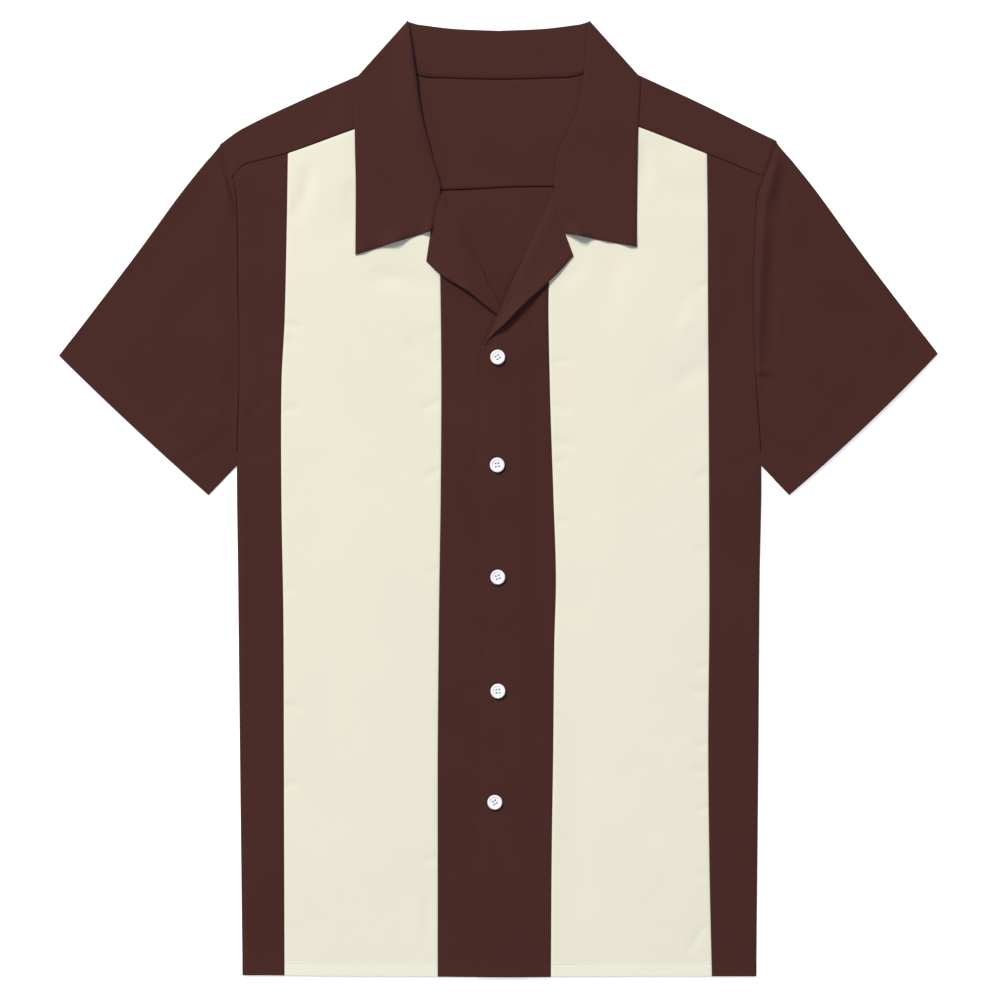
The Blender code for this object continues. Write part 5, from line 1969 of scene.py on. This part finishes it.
class StitchTree:
    """Geometry Nodes tree that sews a run of stitches along each path."""

    def __init__(self, name: str, thread: Material) -> None:
        """Build the tree.

        Args:
            name: the tree's name.
            thread: finish of the stitches.
        """
        self.tree = bpy.data.node_groups.new(name, "GeometryNodeTree")
        face = self.tree.interface
        face.new_socket("Geometry", in_out="INPUT", socket_type="NodeSocketGeometry")
        self.sockets = {
            row.name: face.new_socket(row.name, in_out="INPUT", socket_type=row.kind) for row in STITCH_INPUTS
        }
        face.new_socket("Geometry", in_out="OUTPUT", socket_type="NodeSocketGeometry")
        self.lay_out(thread)

    def node(self, kind: str, **settings: object) -> bpy.types.Node:
        """Add a node with its properties."""
        made = self.tree.nodes.new(kind)
        for key, value in settings.items():
            setattr(made, key, value)
        return made

    def lay_out(self, thread: Material) -> None:
        """Join up the tree: path, stitches along it, real geometry, finish.

        Args:
            thread: finish of the stitches.
        """
        given = self.node("NodeGroupInput")
        curve = self.node("GeometryNodeMeshToCurve")
        spaced = self.node("GeometryNodeResampleCurve", mode="LENGTH")
        tangent = self.node("GeometryNodeInputTangent")
        turn = self.node("FunctionNodeAlignRotationToVector", axis="X")
        bead = self.node("GeometryNodeMeshUVSphere")
        bead.inputs["Segments"].default_value = 8
        bead.inputs["Rings"].default_value = 4
        bead.inputs["Radius"].default_value = 0.5
        spread = self.node("ShaderNodeMath", operation="SUBTRACT")
        spread.inputs[0].default_value = 1.0
        vary = self.node("FunctionNodeRandomValue", data_type="FLOAT")
        vary.inputs[3].default_value = 1.0
        long = self.node("ShaderNodeMath", operation="MULTIPLY")
        size = self.node("ShaderNodeCombineXYZ")
        sewn = self.node("GeometryNodeInstanceOnPoints")
        real = self.node("GeometryNodeRealizeInstances")
        dressed = self.node("GeometryNodeSetMaterial")
        dressed.inputs["Material"].default_value = thread
        result = self.node("NodeGroupOutput")
        links = (
            (given, "Geometry", curve, "Mesh"),
            (curve, "Curve", spaced, "Curve"),
            (given, "Pitch", spaced, "Length"),
            (tangent, "Tangent", turn, "Vector"),
            (given, "Unevenness", spread, 1),
            (spread, 0, vary, 2),
            (given, "Seed", vary, "Seed"),
            (given, "Stitch length", long, 0),
            (vary, 1, long, 1),
            (long, 0, size, "X"),
            (given, "Thread width", size, "Y"),
            (given, "Thread width", size, "Z"),
            (spaced, "Curve", sewn, "Points"),
            (bead, "Mesh", sewn, "Instance"),
            (turn, "Rotation", sewn, "Rotation"),
            (size, "Vector", sewn, "Scale"),
            (sewn, "Instances", real, "Geometry"),
            (real, "Geometry", dressed, "Geometry"),
            (dressed, "Geometry", result, "Geometry"),
        )
        for start, given_socket, end, taken_socket in links:
            self.tree.links.new(start.outputs[given_socket], end.inputs[taken_socket])


@dataclass
class StitchRun:
    """Runs of stitches of one thread, made as one mesh."""

    name: str
    thread: Material
    slot: str
    paths: list[Array]
    sizes: dict[str, float | int] = field(default_factory=dict)
    offset: float = HEM_PLACE  # added to Y; 0 for paths that are in the frame's place

    def build(self) -> Piece:
        """Sew the stitches along the paths."""
        points, edges = [], []
        for path in self.paths:
            start = len(points)
            points += (path * MM + np.array([0.0, self.offset, 0.0])).tolist()
            edges += [(start + k, start + k + 1) for k in range(len(path) - 1)]
        guide = bpy.data.meshes.new(f"{self.name}_path")
        guide.from_pydata(points, edges, [])
        carrier = new_object(f"{self.name}_path", guide)
        tree = StitchTree(f"{self.name}_tree", self.thread)
        sewing = carrier.modifiers.new("sewing", "NODES")
        sewing.node_group = tree.tree
        for row in STITCH_INPUTS:
            sewing[tree.sockets[row.name].identifier] = self.sizes.get(row.name, row.value)
        mesh = evaluated_mesh(carrier, self.name)
        carrier.modifiers.clear()
        bpy.data.objects.remove(carrier)
        mesh.shade_smooth()
        return add_piece(mesh, self.thread)


class StitchSize(NamedTuple):
    """Sizes of one kind of stitch."""

    pitch: float
    length: float
    width: float

    def inputs(self) -> dict[str, float]:
        """The stitch tree's inputs, in metres."""
        return {"Pitch": self.pitch * MM, "Stitch length": self.length * MM, "Thread width": self.width * MM}


@dataclass
class Stitching:
    """Hem, cuff, seam and button stitching; the seam runs are near-black thread whose colour is painted shade
    of the seams.
    """

    finishes: Finishes
    buttons: Sequence[Button]
    hem: Hem = field(default_factory=Hem)
    cuff_up: float = 18.8
    cuff_span: tuple[float, float] = (0.02, 0.98)  # shares of the cuff
    rise: float = 0.42  # of the stitches over the middle of the cloth
    step: float = 2.0
    overlap: float = 2.0  # of the left placket over the first stitch of the right one
    from_edge: float = 1.0
    from_stripe: float = 1.2
    from_side: float = 3.0
    # Wide near-black thread in the back neck and yoke seams: painted shade of those seams' crevice.
    ditch: StitchSize = StitchSize(1.3, 1.9, 1.15)
    ditch_rise: float = 0.28
    neck_half: float = 82.0
    yoke_half: float = 70.0
    # Near-black thread sunk in the front yoke and armhole seams: painted shade of those seams' crevice.
    sunk: StitchSize = StitchSize(1.3, 1.9, 0.66)
    sink: float = 0.02
    yoke_span: tuple[float, float] = (118.0, 223.0)  # reach of the front yoke seams, from under the collar
    armhole_span: tuple[float, float] = (452.0, 684.0)  # height of the armhole seams
    fastening: StitchSize = StitchSize(0.3, 0.6, 0.3)

    def front_path(self, start: float, end: float, level: Level) -> Array:
        """Path of the hem's stitching across the front.

        Args:
            start: where it starts across the front.
            end: where it ends.
            level: underside of the cloth that it is on.

        Returns:
            The path's points.
        """
        x = np.linspace(start, end, max(2, round(abs(end - start) / self.step)))
        y = np.full_like(x, self.hem.stitch_up)
        y = y + CUT.hem(x, y)
        z = level(x, y) + WALL / 2 + LAY.creases(Layer.FRONT, x, y) + self.rise
        return np.column_stack([x, y, z])

    def hem_paths(self) -> tuple[list[Array], list[Array]]:
        """Front hem runs: on the brown panels, and on the cream stripes."""
        up = self.hem.stitch_up
        brown, cream = [], []
        for side in Side:
            sign, label = side.value, side.label
            inner = float(follow(CUT.stripe_inner, up, label))
            outer = float(follow(CUT.stripe_outer, up, label))
            edge = float(CUT.body(side, up))
            front = float(follow(CUT.front_edge, up, label))
            level = LAY.front_bed if side is Side.RIGHT else LAY.top_front_bed
            start = sign * front if side is Side.LEFT else -CUT.placket_half - self.overlap
            gap = self.from_stripe
            brown.append(self.front_path(start + self.from_edge * sign, sign * (inner - gap), level))
            brown.append(self.front_path(sign * (outer + gap), sign * (edge - self.from_side), LAY.front_bed))
            cream.append(self.front_path(sign * (inner + gap), sign * (outer - gap), LAY.front_bed))
        return brown, cream

    def cuff_paths(self) -> list[Array]:
        """Runs beside each cuff, on the sleeve's upper layer."""
        paths = []
        for side in Side:
            sign = side.value
            sleeve = Sleeve(side, self.finishes)
            share = np.linspace(*self.cuff_span, 90)
            end = cuff_line(side, share)
            start = sleeve.armhole(share)
            way = (end - start) / np.linalg.norm(end - start, axis=1, keepdims=True)
            plan = end - way * self.cuff_up
            away = np.linalg.norm(plan - start, axis=1)
            x, y = sign * plan[:, 0], plan[:, 1]
            z = WALL / 2 + LAYER + sleeve.rise(x, y, away, share) + self.rise
            paths.append(np.column_stack([x, y, z]))
        return paths

    def ditch_paths(self) -> list[Array]:
        """Runs of near-black thread sunk in the back neck seam and in the back yoke seam, where they show
        inside the neck; their colour is painted shade of the seams.
        """
        x = np.linspace(-self.neck_half, self.neck_half, 120)
        neck = follow(CUT.back_collar, np.abs(x), "neck")
        across = np.linspace(-self.yoke_half, self.yoke_half, 100)
        runs = ((x, neck), (across, CUT.inner_seam(across)))
        return [np.column_stack([x, y, LAY.bed(x, y) + WALL / 2 + self.ditch_rise]) for x, y in runs]

    def seam_paths(self) -> list[Array]:
        """Runs of near-black thread sunk in the front yoke seams and the armhole seams; their colour is
        painted shade of the seams.
        """
        paths = []
        for side in Side:
            reach = np.linspace(*self.yoke_span, 90)
            height = np.linspace(*self.armhole_span, 180)
            lines = ((reach, follow(CUT.yoke_seam, reach, side.label)), (CUT.body(side, height), height))
            for across, y in lines:
                x = side.value * across
                z = LAY.front_bed(x, y) + WALL / 2 + LAY.creases(Layer.FRONT, x, y) - self.sink
                paths.append(np.column_stack([x, y, z]))
        return paths

    def build(self) -> None:
        """Make every run."""
        brown, cream = self.hem_paths()
        StitchRun("hem_stitches_brown", self.finishes.brown_thread, "brown_cloth", brown).build()
        StitchRun("hem_stitches_cream", self.finishes.cream_thread, "cream_cloth", cream).build()
        # Near-black thread in the seams: real stitches whose dark colour is painted shade of the seam lines.
        dark = self.finishes.dark_thread
        StitchRun("ditch_stitches_painted_shade", dark, "brown_cloth", self.ditch_paths(), self.ditch.inputs()).build()
        sunk = self.sunk.inputs()
        StitchRun("front_seam_stitches_painted_shade", dark, "brown_cloth", self.seam_paths(), sunk).build()
        StitchRun("cuff_stitches", self.finishes.brown_thread, "brown_cloth", self.cuff_paths()).build()
        held = [path for button in self.buttons for path in button.thread_paths()]
        fine = self.fastening.inputs()
        StitchRun("button_thread", self.finishes.button_thread, "button", held, fine, offset=0.0).build()


# ---- Studio ----


class Lamp(NamedTuple):
    """A square area light that faces the shirt, with its side in metres and its power in watts."""

    name: str
    place: tuple[float, float, float]
    size: float
    power: float
    colour: Colour


@dataclass
class Studio:
    """Plain pale floor, soft lights and a camera straight above."""

    view_width: float = 0.8609
    middle: tuple[float, float] = (0.0017, -0.0011)
    camera_height: float = 4.2
    sensor: float = 36.0
    floor_half: float = 6.0
    floor_colour: Colour = (0.93, 0.93, 0.93)
    floor_glow: float = 0.45  # lit from below, like a light table
    sky: float = 0.333
    sky_colour: Colour = (0.85, 0.96, 1.16)  # cool, so that shadows turn blue-grey
    lamps: tuple[Lamp, ...] = (
        Lamp("key_light", (-3.9, 6.3, 7.4), 2.8, 1100.0, (1.09, 1.015, 0.93)),
        Lamp("fill_light", (1.2, -3.4, 4.2), 3.0, 57.0, (0.9, 1.0, 1.08)),
    )

    def camera(self) -> None:
        """Set the camera over the shirt's middle."""
        data = bpy.data.cameras.new("overhead_camera")
        data.sensor_width = self.sensor
        data.lens = self.sensor * self.camera_height / self.view_width
        data.clip_end = 30.0
        camera = new_object("overhead_camera", data)
        camera.location = (*self.middle, self.camera_height)
        bpy.context.scene.camera = camera

    def floor(self) -> None:
        """Lay the floor."""
        half = self.floor_half
        mesh = bpy.data.meshes.new("floor")
        corners = [(-half, -half, 0.0), (half, -half, 0.0), (half, half, 0.0), (-half, half, 0.0)]
        mesh.from_pydata(corners, [], [(0, 1, 2, 3)])
        bench = NodeBench("floor_paper")
        place = bench.add("ShaderNodeTexCoord").outputs["Object"]
        dark = tuple(0.985 * part for part in self.floor_colour)
        share = bench.noise(place, 3.0, 2.0)
        bench.dress(
            {
                "Base Color": bench.blend(share, dark, self.floor_colour),
                "Roughness": 0.9,
                "Specular IOR Level": 0.1,
                "Emission Color": (1.0, 1.0, 1.0),
                "Emission Strength": self.floor_glow,
            }
        )
        mesh.materials.append(bench.material)
        new_object("floor", mesh)

    @staticmethod
    def light(lamp: Lamp) -> None:
        """Hang a lamp.

        Args:
            lamp: the lamp's place, size, power and colour.
        """
        data = bpy.data.lights.new(lamp.name, "AREA")
        data.shape = "SQUARE"
        data.size = lamp.size
        data.energy = lamp.power
        data.color = lamp.colour
        light = new_object(lamp.name, data)
        light.location = lamp.place
        light.rotation_euler = (-Vector(lamp.place)).to_track_quat("-Z", "Y").to_euler()

    def build(self) -> None:
        """Set up the camera, floor and lights."""
        scene = bpy.context.scene
        scene.view_settings.view_transform = "Standard"
        world = bpy.data.worlds.new("soft_daylight")
        world.use_nodes = True
        backdrop = world.node_tree.nodes["Background"]
        backdrop.inputs["Color"].default_value = (*self.sky_colour, 1.0)
        backdrop.inputs["Strength"].default_value = self.sky
        scene.world = world
        self.camera()
        self.floor()
        for lamp in self.lamps:
            self.light(lamp)


# ---- The shirt ----

BUTTON_TURNS = (38.0, 8.0, 20.0, 4.0, 30.0)


def main() -> None:
    """Build the shirt's pieces in the order that they lie, then the studio."""
    logging.basicConfig(level=logging.INFO, format="%(name)s %(message)s")
    finishes = Finishes()
    BackPanel(finishes).build()
    FrontSide(Side.RIGHT, finishes, FlatCut(0.0264, (0.045, 0.708))).build()
    FrontSide(Side.LEFT, finishes, FlatCut(0.0287, (0.048, 0.707))).build()
    for side in Side:
        FrontStripe(side, finishes).build()
    FrontCentre(Side.RIGHT, finishes, FlatCut(0.0400, (0.069, 0.661))).build()
    FrontCentre(Side.LEFT, finishes, FlatCut(0.0380, (0.070, 0.661))).build()
    for side in Side:
        Sleeve(side, finishes).build()
        Lapel(side, finishes).build()
    Collar(finishes).build()
    Yoke(finishes).build()
    buttons = [Button(number, turn, finishes) for number, turn in enumerate(BUTTON_TURNS, start=1)]
    for button in buttons:
        button.build()
    Stitching(finishes, buttons).build()
    Studio().build()


if __name__ == "__main__":
    main()
